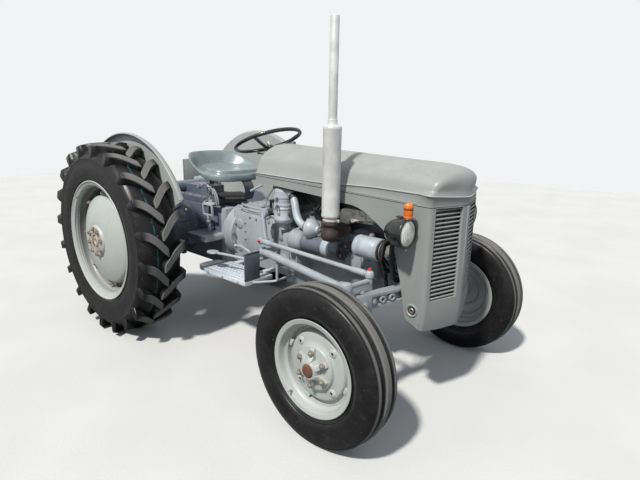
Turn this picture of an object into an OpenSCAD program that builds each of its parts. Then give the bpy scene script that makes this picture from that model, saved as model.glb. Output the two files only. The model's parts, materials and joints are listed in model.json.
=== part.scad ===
// Vintage utility tractor, grey, open platform, rear three-point hitch.
// Units are millimetres. Built with +X forward, +Y left and +Z up, wheels on the ground at Z = 0.
// Modules work with X = 0 at the rear axle, and shift() moves each node to the shared frame.

/* [Main sizes] */
// Distance between the front and rear axle centres
wheelbase = 1778; // [1700:1:1850]
// Half of the rear track, centre plane to wheel centre
rear_half_track = 678; // [674:1:720]
// Half of the front track, centre plane to wheel centre
front_half_track = 665; // [655:1:700]
// Front point of the grille, ahead of the front axle
nose_overhang = 307; // [295:1:315]
// Rear end of the lower links, behind the rear axle
rear_end_x = -779; // [-820:1:-740]

/* [Rear wheels] */
// Outer radius over the lugs, also the axle height
rear_tyre_r = 612; // [600:1:630]
// Height of the lugs above the carcass
rear_lug_h = 32; // [25:1:38]
// Count of the lugs on each side of a tyre
rear_lug_count = 20; // [16:1:24]
// Half of the tyre's section width
rear_tyre_hw = 134; // [125:1:136]
// Radius of the rim flange
rear_rim_r = 381; // [375:1:390]
// Radius of the bead seat
rear_seat_r = 356; // [350:1:360]
// Half of the rim's width
rear_rim_hw = 126; // [118:1:128]
// Offset of the hub face outward of the wheel centre
rear_hub_face = 137; // [130:1:145]

/* [Front wheels] */
// Outer radius over the ribs, also the axle height
front_tyre_r = 364; // [355:1:375]
// Half of the tyre's section width
front_tyre_hw = 80; // [70:1:84]
// Radius of the rim flange
front_rim_r = 222; // [215:1:230]
// Radius of the bead seat
front_seat_r = 203; // [200:1:206]
// Half of the rim's width
front_rim_hw = 61; // [58:1:64]

/* [Steering] */
// Distance of the kingpin from the centre plane
kingpin_y = 525; // [515:1:530]
// Radius of the kingpin
kingpin_r = 15; // [12:0.5:18]
// Distance of the drag link's front ball from the centre plane
drag_ball_y = 360; // [350:1:370]
// Distance of the drag link's rear ball from the centre plane
drag_link_y = 300; // [295:1:310]
// Height of the drag links
drag_link_z = 706; // [700:1:715]
// Pivot of the drop arms, ahead of the rear axle
drop_pivot_x = 962; // [955:1:970]
// Height of the drop arm pivot
drop_pivot_z = 858; // [850:1:870]
// Radius of the steering wheel
wheel_r = 228.6; // [215:0.1:232]
// Steering wheel centre ahead of the rear axle
wheel_x = 718; // [700:1:722]
// Height of the steering wheel centre
wheel_z = 1256; // [1250:1:1270]
// Lean of the steering wheel toward the seat
wheel_tilt = 22.1; // [20:0.1:26]

/* [Bonnet] */
// Sheet thickness of the bonnet and nose
sheet_t = 4; // [3:0.5:6]
// Rear edge of the bonnet
bonnet_x = 873; // [870:1:885]
// Half width of the bonnet's lower edge at the rear
bonnet_hw_rear = 240; // [234:1:244]
// Half width of the nose at its front corners
bonnet_hw_front = 221; // [218:1:225]
// Top of the bonnet at its rear edge
bonnet_top_z = 1240; // [1236:1:1246]
// Slope of the bonnet's top and seam toward the nose
bonnet_pitch = 1.9; // [1.5:0.1:2.2]
// Height of the bonnet hinge
hinge_z = 539; // [534:1:543]
// Radius of the bonnet hinge bolts
hinge_r = 8; // [6:0.5:10]
// Count of the slats in each grille panel
slat_count = 22; // [16:1:26]

/* [Fenders] */
// Distance of the fenders' flat panels from the centre plane
fender_y = 534; // [520:1:535]
// Radius over the fenders' crowns
fender_r = 680; // [670:1:695]
// Width of the fenders' crowns
fender_w = 50; // [40:1:60]

/* [Rear linkage] */
// Pivot of the lower links, from the rear axle
link_pivot_x = -30; // [-40:1:-20]
// Height of the lower link pivot
link_pivot_z = 430; // [425:1:435]
// Radius of the lower link ball bore, category 1
link_bore_r = 11.1; // [11:0.05:11.2]
// Radius of the top link pin bore, category 1
top_bore_r = 9.6; // [9.5:0.05:9.7]
// Rockshaft position from the rear axle
rock_x = -130; // [-140:1:-120]
// Height of the rockshaft
rock_z = 880; // [875:1:890]
// Length of the lift arms
lift_arm_l = 270; // [260:1:280]
// Radius of the power take-off shaft
pto_r = 14.3; // [14:0.05:14.5]

/* [Hidden] */
$fn = 64;
origin_x = (wheelbase + front_tyre_r + rear_end_x) / 2;
gap = 0.3;
fit_gap = 0.05;
rear_axle_z = rear_tyre_r;
rear_carcass_r = rear_tyre_r - rear_lug_h;
kingpin_x = wheelbase + 17;
drag_ball_x = kingpin_x + 5;
axle_x = kingpin_x + 123;
hinge_x = wheelbase + 176;
nose_front_x = wheelbase + nose_overhang;
engine_front_x = wheelbase - 88;
stack_x = engine_front_x - 185;
far_x = nose_front_x + 115;
seam_z = bonnet_top_z - 172;
front_shift = wheelbase - 1778;
link_end_x = rear_end_x + 24;
link_attach_x = -450;
arm_end_x = rock_x - lift_arm_l;

GREY = [0.56, 0.58, 0.56];
BLUEGREY = [0.55, 0.59, 0.62];
SILVER = [0.64, 0.66, 0.65];
BLACK = [0.05, 0.05, 0.055];
RUBBER = [0.06, 0.06, 0.06];
RUST = [0.25, 0.16, 0.11];

// Placing helpers
module shift() translate([-origin_x, 0, 0]) children();
module both() { children(); mirror([0, 1, 0]) children(); }
module box(x, y, z) translate([x[0], y[0], z[0]]) cube([x[1] - x[0], y[1] - y[0], z[1] - z[0]]);
module cyl_x(x, y, z, r) translate([x[0], y, z]) rotate([0, 90, 0]) cylinder(h = x[1] - x[0], r = r);
module cyl_y(x, y, z, r) translate([x, y[0], z]) rotate([-90, 0, 0]) cylinder(h = y[1] - y[0], r = r);
module cyl_z(x, y, z, r) translate([x, y, z[0]]) cylinder(h = z[1] - z[0], r = r);
module side_plate(y) translate([0, y[1], 0]) rotate([90, 0, 0]) linear_extrude(height = y[1] - y[0]) children();
module plan_plate(z) translate([0, 0, z[0]]) linear_extrude(height = z[1] - z[0]) children();
// A straight round bar from p to q
module bar(p, q, r) {
    d = q - p;
    len = norm(d);
    translate(p) rotate([0, acos(d[2] / len), atan2(d[1], d[0])]) cylinder(h = len, r = r);
}
// A bent round bar with ball corners
module bent_bar(pts, r) {
    for (i = [0:len(pts) - 2]) bar(pts[i], pts[i + 1], r);
    for (i = [1:len(pts) - 2]) translate(pts[i]) sphere(r = r * 1.15, $fn = 32);
}
// A ring turned about the wheel axis: profile is in [radius, offset outward]
module turned(x, y, z, profile) translate([x, y, z]) rotate([-90, 0, 0]) rotate_extrude($fn = 96) polygon(profile);

// Wheels and tyres, built for the left side with the outer face toward +Y
module rear_tyre(s) {
    r = rear_carcass_r;
    hw = rear_tyre_hw;
    half = [[rear_seat_r + gap, 110], [rear_rim_r + gap, 117], [400, 124], [450, hw], [505, hw], [r - 26, hw - 5],
        [r - 8, hw - 22], [r, hw - 48]];
    // Lug outline in the tread's plane: distance from the centre line, and distance around the tyre
    lug = [[hw - 1, 64], [70, 42], [6, -24], [10, -76], [70, -2], [hw - 1, 22]];
    color(RUBBER) shift() translate([0, s * rear_half_track, rear_axle_z]) {
        rotate([-90, 0, 0]) rotate_extrude($fn = 96)
            polygon(concat(half, [for (i = [len(half) - 1:-1:0]) [half[i][0], -half[i][1]]]));
        intersection() {
            rotate([-90, 0, 0]) cylinder(h = 2 * hw, r = rear_tyre_r, center = true, $fn = 96);
            for (k = [0, 1], i = [0:rear_lug_count - 1]) rotate([0, (i + k / 2) * 360 / rear_lug_count, 0])
                mirror([0, k, 0]) translate([r - 34, 0, 0]) rotate([90, 0, 90]) linear_extrude(height = rear_lug_h + 50)
                polygon(lug);
        }
    }
}
module front_tyre(s) {
    r = front_tyre_r;
    hw = front_tyre_hw;
    half = [[front_seat_r + gap, 52], [front_rim_r + gap, 55.5], [front_rim_r + 8, 64], [262, hw], [300, hw], [r - 34, hw - 6],
        [r - 14, hw - 16], [r - 8, hw - 20], [r - 6, 44], [r - 18, 40], [r - 18, 20], [r, 12]];
    color(RUBBER) shift() translate([wheelbase, s * front_half_track, front_tyre_r])
        rotate([-90, 0, 0]) rotate_extrude($fn = 96)
        polygon(concat(half, [for (i = [len(half) - 1:-1:0]) [half[i][0], -half[i][1]]]));
}
// One side of the vehicle for a wheel: s is 1 on the left and -1 on the right
module on_side(x, s, y, z) translate([x, s * y, z]) rotate([0, 0, s > 0 ? 0 : 180]) children();
module rear_wheel(s) {
    rim = [[rear_seat_r, -112], [rear_rim_r, -120], [rear_rim_r, -rear_rim_hw], [rear_seat_r - 9, -rear_rim_hw + 6],
        [rear_seat_r - 9, -60], [rear_seat_r - 32, -50], [rear_seat_r - 32, 50], [rear_seat_r - 9, 60],
        [rear_seat_r - 9, rear_rim_hw - 6], [rear_rim_r, rear_rim_hw], [rear_rim_r, 120], [rear_seat_r, 112],
        [rear_seat_r, 60], [rear_seat_r - 22, 50], [rear_seat_r - 22, -50], [rear_seat_r, -60]];
    hub = rear_hub_face;
    edge = rear_seat_r - 68;
    disc = [[40, hub - 19], [100, hub - 19], [120, hub - 25], [edge - 16, 66], [edge, 66], [edge, 74], [edge - 14, 75],
        [122, hub - 17], [100, hub - 8], [94, hub], [62, hub], [58, hub - 7], [40, hub - 7]];
    color(SILVER) shift() on_side(0, s, rear_half_track, rear_axle_z) {
        rotate([-90, 0, 0]) rotate_extrude($fn = 96) polygon(rim);
        rotate([-90, 0, 0]) rotate_extrude($fn = 96) polygon(disc);
        // Half shaft with its flange, running into the brake drum
        cyl_y(0, [fender_y - 40 - rear_half_track, hub - 6], 0, 40.5);
        cyl_y(0, [hub - 7, hub + 3], 0, 30);
        // Brake drum
        cyl_y(0, [fender_y + 9 - rear_half_track, -58], 0, 178);
        for (i = [0:7]) rotate([0, i * 45, 0]) {
            // Rail lug that joins the disc to the rim
            box([edge - 8, rear_seat_r - 28], [-32, 32], [-26, 26]);
            box([edge - 22, edge + 2], [-32, 74], [-26, 26]);
            // Wheel nut
            translate([82, rear_hub_face - 1, 0]) rotate([-90, 0, 0]) cylinder(h = 15, r = 13, $fn = 24);
        }
    }
}
module front_wheel(s) {
    rim = [[front_seat_r, -54], [front_rim_r, -57], [front_rim_r, -front_rim_hw], [front_seat_r - 6, -front_rim_hw + 4],
        [front_seat_r - 6, -30], [front_seat_r - 24, -24], [front_seat_r - 24, 20], [front_seat_r - 6, 30],
        [front_seat_r - 6, front_rim_hw - 4], [front_rim_r, front_rim_hw], [front_rim_r, 57], [front_seat_r, 54],
        [front_seat_r, 30], [front_seat_r - 18, 20], [front_seat_r - 18, -24], [front_seat_r, -30]];
    q = front_seat_r - 203;
    disc = [[24, 50], [88, 50], [104, 42], [120, 26], [158 + q, 24], [172 + q, 12], [172 + q, -10], [182 + q, -10],
        [182 + q, 14], [160 + q, 31], [122, 33], [108, 50], [92, 58], [24, 58]];
    color(SILVER) shift() on_side(wheelbase, s, front_half_track, front_tyre_r) {
        rotate([-90, 0, 0]) rotate_extrude($fn = 96) polygon(rim);
        difference() {
            rotate([-90, 0, 0]) rotate_extrude($fn = 96) polygon(disc);
            for (i = [0:3]) rotate([0, 45 + i * 90, 0]) cyl_y(139, [0, 60], 0, 12);
        }
        // Hub drum with its bore for the stub axle
        difference() {
            cyl_y(0, [-70, 80], 0, 42);
            cyl_y(0, [-71, 62], 0, 20 + fit_gap);
        }
        cyl_y(0, [79, 88], 0, 32);
        for (i = [0:5]) rotate([0, i * 60, 0])
            translate([78, 57, 0]) rotate([-90, 0, 0]) cylinder(h = 14, r = 10, $fn = 24);
    }
}

// Front end
module front_support() {
    color(BLUEGREY) shift() difference() {
        union() {
            box([engine_front_x + gap, axle_x + 26], [-95, 95], [640, 700]);
            box([engine_front_x + gap, kingpin_x + 5], [-95, 95], [560, 641]);
            // Ears that hold the axle pivot
            box([axle_x - 70, axle_x - 42], [-42, 42], [545, 641]);
            box([axle_x + 34, hinge_x + 36], [-42, 42], [545, 700]);
            box([axle_x + 25, axle_x + 35], [-42, 42], [641, 700]);
            // Cross bar and hinge brackets of the bonnet
            box([hinge_x + 35, hinge_x + 52], [-190, 190], [hinge_z - 24, hinge_z + 24]);
            both() box([hinge_x - 18, hinge_x + 52], [190, 200], [hinge_z - 24, hinge_z + 24]);
        }
        cyl_x([axle_x - 90, axle_x + 90], 0, 592, 16 + fit_gap);
        both() cyl_y(hinge_x, [180, 210], hinge_z, hinge_r - 1);
    }
    // Bonnet hinge bolts
    color(BLUEGREY) shift() both() cyl_y(hinge_x, [199.5, 216], hinge_z, hinge_r);
}
module front_axle() {
    // Plan of the half beam: front and rear faces fall back toward the kingpin
    slope = 134 / (kingpin_y - 20);
    f = axle_x + 26;
    r = axle_x - 26;
    k = kingpin_y;
    color(BLUEGREY) shift() {
        difference() {
            union() {
                both() {
                    difference() {
                        plan_plate([558, 627]) polygon([[r, 0], [f, 0], [f - 134, k - 20], [f - 134, k + 12],
                            [r - 134, k + 12], [r - 134, k - 20]]);
                        // Channel recess in the front and rear faces
                        plan_plate([572, 613]) polygon([for (p = [[-18, 80], [10, 80], [10, 385], [-18, 385]])
                            [f - slope * p[1] + p[0], p[1]]]);
                        plan_plate([572, 613]) polygon([for (p = [[-10, 80], [18, 80], [18, 385], [-10, 385]])
                            [r - slope * p[1] + p[0], p[1]]]);
                    }
                    // Bosses of the track bolt holes
                    for (y = [265, 320, 375]) translate([axle_x - slope * y, y, 592]) rotate([0, 90, 14.9])
                        cylinder(h = 49, r = 17, center = true);
                    // Outer section's clamp
                    plan_plate([550, 635]) polygon([[f - slope * 400 - 10, 400], [f - slope * 400 + 12, 400],
                        [f - slope * 500 + 12, 500], [f - slope * 500 - 10, 500]]);
                    cyl_z(kingpin_x, k, [548, 655], 36);
                }
                cyl_x([axle_x - 32, axle_x + 28], 0, 592, 44);
            }
            both() cyl_z(kingpin_x, k, [540, 660], kingpin_r + fit_gap);
            // Empty track bolt holes
            both() for (y = [265, 320]) translate([axle_x - slope * y, y, 592]) rotate([0, 90, 14.9])
                cylinder(h = 90, r = 9, center = true);
        }
        // Pivot pin
        cyl_x([axle_x - 74, hinge_x + 40], 0, 592, 16);
    }
}
module radius_rods() {
    // The fork's front face follows the axle beam's rear face
    slope = 134 / (kingpin_y - 20);
    r = axle_x - 26.3;
    k = kingpin_y;
    color(SILVER) shift() both() {
        bar([968, 266, 632], [kingpin_x - 92, k - 76, 642], 22);
        box([kingpin_x - 104, kingpin_x - 58], [k - 98, k - 50], [618, 666]);
        plan_plate([580, 655]) polygon([[kingpin_x - 66, k - 88], [r - slope * (k - 88), k - 88],
            [r - slope * (k - 56), k - 56], [kingpin_x - 66, k - 56]]);
        // Ball end at the gearbox
        translate([968, 266, 632]) sphere(r = 27);
        cyl_y(968, [150 + gap, 266], 632, 14);
    }
}
module knuckle(s) {
    k = s * kingpin_y;
    h = front_half_track;
    color(BLUEGREY) shift() {
        // Kingpin
        cyl_z(kingpin_x, k, [500, 700], kingpin_r);
        // Lower body with the stub axle
        cyl_z(kingpin_x, k, [480, 547.5], 34);
        bar([kingpin_x, k, 500], [wheelbase, s * (h - 102), front_tyre_r], 24);
        cyl_y(wheelbase, [min(s * (h - 125), s * (h - 77)), max(s * (h - 125), s * (h - 77))], front_tyre_r, 34);
        cyl_y(wheelbase, [min(s * (h - 85), s * (h + 55)), max(s * (h - 85), s * (h + 55))], front_tyre_r, 20);
        // Steering arm
        cyl_z(kingpin_x, k, [655.5, 697], 30);
        bar([kingpin_x, k, 682], [drag_ball_x, s * drag_ball_y, drag_link_z - 28], 12);
        cyl_z(drag_ball_x, s * drag_ball_y, [drag_link_z - 42, drag_link_z - 16], 15);
    }
}
module drag_link(s) {
    e = drop_pivot_x + 24;
    color(SILVER) shift() {
        // Front joint with its cap, above the steering arm
        cyl_z(drag_ball_x, s * drag_ball_y, [drag_link_z - 15.5, drag_link_z + 18], 20);
        cyl_z(drag_ball_x, s * drag_ball_y, [drag_link_z + 17, drag_link_z + 30], 9);
        bar([e + 6, s * drag_link_y, drag_link_z], [drag_ball_x - 8, s * drag_ball_y, drag_link_z], 12);
        cyl_y(e, [min(s * (drag_link_y - 14), s * (drag_link_y + 14)), max(s * (drag_link_y - 14), s * (drag_link_y + 14))],
            drag_link_z, 20);
    }
}
module drop_arm(s) {
    e = drop_pivot_x + 24;
    y = drag_link_y - 300;
    color(BLUEGREY) shift() {
        cyl_y(drop_pivot_x, [min(s * 200, s * 262), max(s * 200, s * 262)], drop_pivot_z, 15);
        cyl_y(drop_pivot_x, [min(s * 246, s * 270), max(s * 246, s * 270)], drop_pivot_z, 28);
        bar([drop_pivot_x, s * 260, drop_pivot_z], [e, s * 264, drag_link_z], 13);
        cyl_y(e, [min(s * 250, s * (280 + y)), max(s * 250, s * (280 + y))], drag_link_z, 18);
    }
}
module steering_wheel() {
    color(BLACK) shift() translate([wheel_x, 0, wheel_z]) rotate([0, -wheel_tilt, 0]) {
        rotate_extrude($fn = 96) translate([wheel_r - 11, 0]) circle(r = 11, $fn = 24);
        // Hub and its shaft
        cylinder(h = 34, r = 26, center = true);
        translate([0, 0, -70]) cylinder(h = 60, r = 11);
        for (a = [45:90:315]) rotate([0, 0, a]) rotate([0, 90, 0]) translate([0, 0, 15]) cylinder(h = wheel_r - 25, r = 8);
    }
}

// Bonnet
module hood_section(t) {
    // Crown, rounded shoulder and leaning side, sheet offset t inward
    crown_c = bonnet_top_z - 287;
    n = [0.9334, 0.3588];
    c = [135, crown_c + 182.5];
    s = c + (60 - t) * n;
    k = c + (60 - t) / 227 * [135, 182.5];
    low = [(593.4 - t - n[1] * 1000) / n[0], 1000];
    a0 = atan2(n[1], n[0]);
    a1 = atan2(182.5, 135);
    right = concat([low], [for (i = [0:6]) c + (60 - t) * [cos(a0 + (a1 - a0) * i / 6), sin(a0 + (a1 - a0) * i / 6)]],
        [for (i = [1:8]) [0, crown_c] + (287 - t) * [cos(a1 + (90 - a1) * i / 8), sin(a1 + (90 - a1) * i / 8)]]);
    polygon(concat(right, [for (i = [len(right) - 2:-1:0]) [-right[i][0], right[i][1]]]));
}
module hood_body(t, x0) {
    intersection() {
        translate([bonnet_x, 0, 0]) rotate([0, bonnet_pitch, 0]) translate([x0 - bonnet_x - 60, 0, 0])
            rotate([90, 0, 90]) linear_extrude(height = far_x - x0 + 120) hood_section(t);
        box([x0, far_x], [-300, 300], [900, bonnet_top_z + 60]);
    }
}
module plan_outline(t, x0) {
    // Half width shrinks from the rear to the rounded front corners, then a shallow prow
    c = [nose_front_x - 89, bonnet_hw_front - 27];
    right = concat([[x0, bonnet_hw_rear - t]], [for (i = [0:6]) c + (28 - t) * [cos(90 - 12.3 * i), sin(90 - 12.3 * i)]],
        [[nose_front_x - 3 - t, 0]]);
    polygon(concat(right, [for (i = [len(right) - 2:-1:0]) [right[i][0], -right[i][1]]]));
}
module front_profile(t) {
    // Side view limit of the hood's rounded forehead
    e = nose_front_x;
    z = bonnet_top_z - 1240;
    translate([e - 50, 1140 + z]) circle(r = 46 - t);
    polygon([[bonnet_x - 70, 900], [e - 3 - t, 900], [e - 4 - t, 1140 + z], [e - 50, 1140 + z], [e - 48, 1186 + z - t],
        [e - 85, 1197 + z - t], [e - 185, bonnet_top_z + 160], [bonnet_x - 70, bonnet_top_z + 160]]);
}
module hood() {
    seam = tan(bonnet_pitch);
    color(GREY) shift() difference() {
        intersection() {
            hood_body(0, bonnet_x);
            plan_plate([900, 1300]) plan_outline(0, bonnet_x - 5);
            side_plate([-300, 300]) front_profile(0);
        }
        intersection() {
            hood_body(sheet_t, bonnet_x - 5);
            plan_plate([900, 1300]) plan_outline(sheet_t, bonnet_x - 5);
            side_plate([-300, 300]) front_profile(sheet_t);
        }
        // Everything below the seam
        side_plate([-300, 300]) polygon([[bonnet_x - 60, 800], [far_x, 800], [far_x, seam_z - (far_x - bonnet_x) * seam],
            [bonnet_x - 60, seam_z + 60 * seam]]);
    }
}
module nose() {
    seam = tan(bonnet_pitch);
    color(GREY) shift() {
        difference() {
            plan_plate([431, 1070]) plan_outline(0, bonnet_x);
            plan_plate([400, 1100]) plan_outline(sheet_t, bonnet_x - 20);
            // Above the seam
            side_plate([-300, 300]) polygon([[bonnet_x - 60, 1200], [far_x, 1200],
                [far_x, seam_z - 2 * gap - (far_x - bonnet_x) * seam], [bonnet_x - 60, seam_z - 2 * gap + 60 * seam]]);
            // Below the strip, the wheel arch and the nose's rear edge
            side_plate([-300, 300]) polygon(concat([[bonnet_x - 60, 1033]], [for (p = [[1376, 1002], [1498, 989], [1591, 985],
                [1671, 956], [1720, 927], [1768, 895], [1810, 857], [1840, 806], [1880, 670], [1893, 620],
                [1893, 559], [1896, 513], [1912, 491], [1935, 479], [1996, 449], [2040, 434], [2200, 425], [2200, 300]])
                [p[0] + front_shift, p[1]]], [[bonnet_x - 60, 300]]));
            // Grille openings
            for (s = [-1, 1]) box([nose_front_x - 85, nose_front_x + 15], [min(s * 14, s * 196), max(s * 14, s * 196)],
                [588, 1022]);
            both() cyl_y(hinge_x, [190, 260], hinge_z, 22);
        }
        // Dished boss around each hinge bolt
        both() difference() {
            cyl_y(hinge_x, [205, 220.5], hinge_z, 27);
            cyl_y(hinge_x, [209, 230], hinge_z, 20);
            cyl_y(hinge_x, [190, 230], hinge_z, hinge_r + fit_gap);
        }
    }
}
module grille() {
    pitch = 434 / slat_count;
    // Slat's front face lies 2 mm behind the nose's front line
    e = nose_front_x - 5;
    k = (nose_front_x - 3 - (nose_front_x - 59)) / 194;
    color(GREY) shift() for (s = [-1, 1]) {
        for (i = [0:slat_count - 1]) translate([0, 0, 588 + (i + 0.5) * pitch - 4.5]) linear_extrude(height = 9)
            polygon([[e - 7 - k * 14.3, s * 14.3], [e - k * 14.3, s * 14.3], [e - k * 195.7, s * 195.7],
                [e - 7 - k * 195.7, s * 195.7]]);
        translate([0, 0, 588 + gap]) linear_extrude(height = 434 - 2 * gap)
            polygon([[e - 18 - k * 98, s * 98], [e - 6 - k * 98, s * 98], [e - 6 - k * 110, s * 110],
                [e - 18 - k * 110, s * 110]]);
    }
}

// Engine and driveline
module engine() {
    e = engine_front_x;
    color(BLUEGREY) shift() {
        box([1192, e], [-118, 118], [600, 858]);
        box([1192, e], [-140, 140], [600, 705]);
        box([1230, e - 22], [-112, 112], [857, 925]);
        box([1262, e - 52], [-72, 72], [924, 985]);
        box([1192, e - 50], [-108, 108], [478, 601]);
        // Timing cover and its front boss
        box([e - 60, e], [-130, 130], [690, 800]);
    }
}
module manifold() {
    color(RUST) shift() {
        box([stack_x - 143, stack_x + 103], [-178, -118 - gap], [800, 856]);
        box([stack_x - 50, stack_x + 40], [-335, -177], [812, 856]);
        cyl_z(stack_x, -300, [850, 899.7], 34);
    }
}
module radiator() {
    color(BLACK) shift() {
        box([kingpin_x + 35, axle_x - 13], [-190, 190], [700 + gap, 1110]);
        box([kingpin_x - 13, kingpin_x + 36], [-150, 150], [760, 1060]);
    }
}
module fan() {
    e = engine_front_x;
    color(BLACK) shift() {
        cyl_x([e + gap, e + 62], 0, 850, 40);
        for (i = [0:3]) translate([e + 45, 0, 850]) rotate([45 + i * 90, 0, 0]) rotate([0, 0, 25])
            translate([-3, -35, 30]) cube([6, 70, 130]);
    }
}
module gearbox_case() {
    color(BLUEGREY) shift() {
        // Bell housing, with the boss behind the starter
        box([1040, 1192 - gap], [-150, 150], [440, 770]);
        box([1120, 1192 - gap], [-255, -149], [665, 764]);
        cyl_x([1150, 1192 - gap], 0, 640, 218);
        // Gearbox
        box([540, 1041], [-140, 140], [470, 800]);
        cyl_x([540, 566], 0, 636, 186);
        // Side covers
        both() side_plate([139, 162]) polygon([[668, 580], [700, 545], [900, 585], [945, 640], [945, 760],
            [910, 792], [720, 796], [668, 750]]);
        box([560, 1060], [-90, 90], [799, 835]);
    }
}
module rear_axle_case() {
    w = fender_y;
    z = rear_axle_z;
    color(BLUEGREY) shift() difference() {
        union() {
            box([-170, 480], [-160, 160], [z - 192, 800]);
            cyl_x([470, 540 - gap], 0, 636, 186);
            both() {
                turned(0, 0, z, [[0, 150], [172, 150], [172, 172], [132, 205], [104, 400], [98, w - 24], [188, w - 24],
                    [188, w - 2], [0, w - 2]]);
                // Lower link brackets and pins
                box([link_pivot_x - 30, link_pivot_x + 30], [159, 190], [405, 460]);
                cyl_y(link_pivot_x, [186, 224], link_pivot_z, 12 - fit_gap);
            }
        }
        both() cyl_y(0, [w - 44, w + 10], z, 40.5 + fit_gap);
    }
}
module lift_cover() {
    color(BLUEGREY) shift() difference() {
        union() {
            box([-165, 330], [-150, 150], [800, 842]);
            box([-100, 160], [-75, 75], [841, 905]);
            cyl_y(rock_x, [-205, 205], rock_z, 42);
            // Top link rocker
            box([-225, -160], [-40, -14], [801, 868]);
            box([-225, -160], [14, 40], [801, 868]);
        }
        cyl_y(-200, [-60, 60], 830, top_bore_r);
        cyl_y(rock_x, [-230, 230], rock_z, 27 + fit_gap);
    }
}
module pto_shaft() {
    color(SILVER) shift() {
        cyl_x([-290, -170 - gap], 0, 560, pto_r);
        cyl_x([-190, -170 - gap], 0, 560, 34);
    }
}
module fuel_tank() {
    color(BLACK) shift() {
        box([1010, engine_front_x - 90], [-115, 115], [1030, 1168]);
        both() box([1010, engine_front_x - 90], [114, 178], [1030, 1112]);
        box([1300, 1340], [-68, 68], [985, 1031]);
    }
}
module dash() {
    color(BLACK) shift() {
        // Steering box and column
        box([850, 1010], [-110, 110], [835, 905]);
        translate([wheel_x, 0, wheel_z]) rotate([0, -wheel_tilt, 0]) translate([0, 0, -385])
            cylinder(h = 315 - gap, r = 24);
        // Battery box and instrument panel
        box([930, 1120], [-100, 100], [905, 1020]);
        box([890, 910], [-150, 150], [1010, 1150]);
        box([900, 931], [-100, 100], [985, 1020]);
        both() difference() {
            cyl_y(drop_pivot_x, [109, 240], drop_pivot_z, 22);
            cyl_y(drop_pivot_x, [190, 250], drop_pivot_z, 15 + fit_gap);
        }
    }
}
module exhaust_stack() {
    color([0.72, 0.73, 0.74]) shift() {
        cyl_z(stack_x, -300, [900, 922], 36);
        cyl_z(stack_x, -300, [920, 1365], 45);
        difference() {
            cyl_z(stack_x, -300, [1364, 1845], 21.5);
            cyl_z(stack_x, -300, [1400, 1850], 19);
        }
    }
}
module air_cleaner() {
    color(BLUEGREY) shift() {
        cyl_z(1045, -176, [800 + gap, 1010], 56);
        cyl_z(1045, -176, [860, 880], 58);
        cyl_z(1045, -179, [764, 801], 27);
        bent_bar([[1085, -176, 985], [1145, -196, 962], [1205, -225, 860], [1300, -225, 817]], 22);
        cyl_x([1290, 1345], -225, 820, 54);
        // Stay to the bell housing
        box([1050, 1090], [-165, -120], [770 + gap, 802]);
    }
}
module dynamo() {
    e = engine_front_x;
    color(BLUEGREY) shift() {
        cyl_x([e - 78, e + 72], -215, 785, 56);
        box([e - 54, e - 22], [-190, -130 - gap], [745, 825]);
    }
    color(BLACK) shift() cyl_x([e + 71, e + 98], -215, 785, 44);
}
module starter() {
    color(BLACK) shift() cyl_x([1192 + gap, engine_front_x - 135], -205, 715, 48);
}
module headlamps() {
    x = axle_x - 18;
    color(BLACK) shift() both() {
        translate([x, 305, 917]) rotate([0, 90, 0]) cylinder(h = 50, r1 = 34, r2 = 61);
        cyl_x([x + 50, x + 72], 305, 917, 61);
        // Bracket up from the axle support
        bent_bar([[axle_x - 56, 95 + gap, 662], [axle_x - 54, 266, 662], [axle_x - 83, 292, 780],
            [axle_x - 96, 298, 850], [x + 15, 305, 890]], 9);
        box([x + 5, x + 35], [295, 315], [960, 990]);
    }
}
module lamp_lenses() {
    color([0.85, 0.88, 0.88]) shift() both() cyl_x([axle_x + 54, axle_x + 60], 305, 917, 52);
}
module indicators() {
    color([0.85, 0.42, 0.08]) shift() both() cyl_z(axle_x + 2, 305, [990, 1052], 20);
}

// Driver's place
module footrests() {
    color(SILVER) shift() both() {
        box([600, 1026], [250, 455], [490, 500]);
        box([640, 1026], [449, 455], [478, 491]);
        // Toe board
        box([1018, 1026], [345, 455], [499, 662]);
        // Arms to the gearbox
        box([640, 680], [140 + gap, 251], [478, 496]);
        box([900, 940], [140 + gap, 251], [478, 496]);
        // Stay to the bell housing
        bent_bar([[1020, 400, 494], [1120, 300, 500], [1120, 300, 585]], 7);
        bar([1120, 305, 585], [1120, 150 + gap, 585], 7);
        bar([1120, 305, 500], [1120, 150 + gap, 500], 7);
    }
}
module pedals() {
    color(SILVER) shift() both() {
        cyl_y(958, [140 + gap, 352], 585, 9);
        bar([958, 338, 587], [716, 424, 606], 7.5);
        translate([700, 430, 600]) cylinder(h = 12, r = 32);
    }
}
module seat() {
    color([0.42, 0.48, 0.50]) shift() translate([282, 0, 987]) rotate([0, 18, 0]) intersection() {
        rotate_extrude($fn = 96) polygon([[0, 0], [60, 0], [150, 6], [205, 36], [238, 102], [246, 104], [246, 96],
            [212, 28], [155, -2], [60, -8], [0, -8]]);
        side_plate([-300, 300]) polygon([[-300, -50], [222, -50], [222, 62], [60, 110], [-300, 130]]);
    }
}
module seat_spring() {
    // Upper arm under the seat, bow at the front, lower arm on the lift cover
    color(BLACK) shift() side_plate([-38, 38]) polygon([[231.9, 994.5], [490.6, 910.5], [505, 905], [515, 894], [519, 877],
        [515, 860], [505, 848], [490, 842 + gap], [180, 842 + gap], [180, 854], [488, 854], [498, 858], [505, 866],
        [507, 877], [505, 888], [498, 895], [486.9, 899.4], [228.3, 983.4]]);
}
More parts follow.
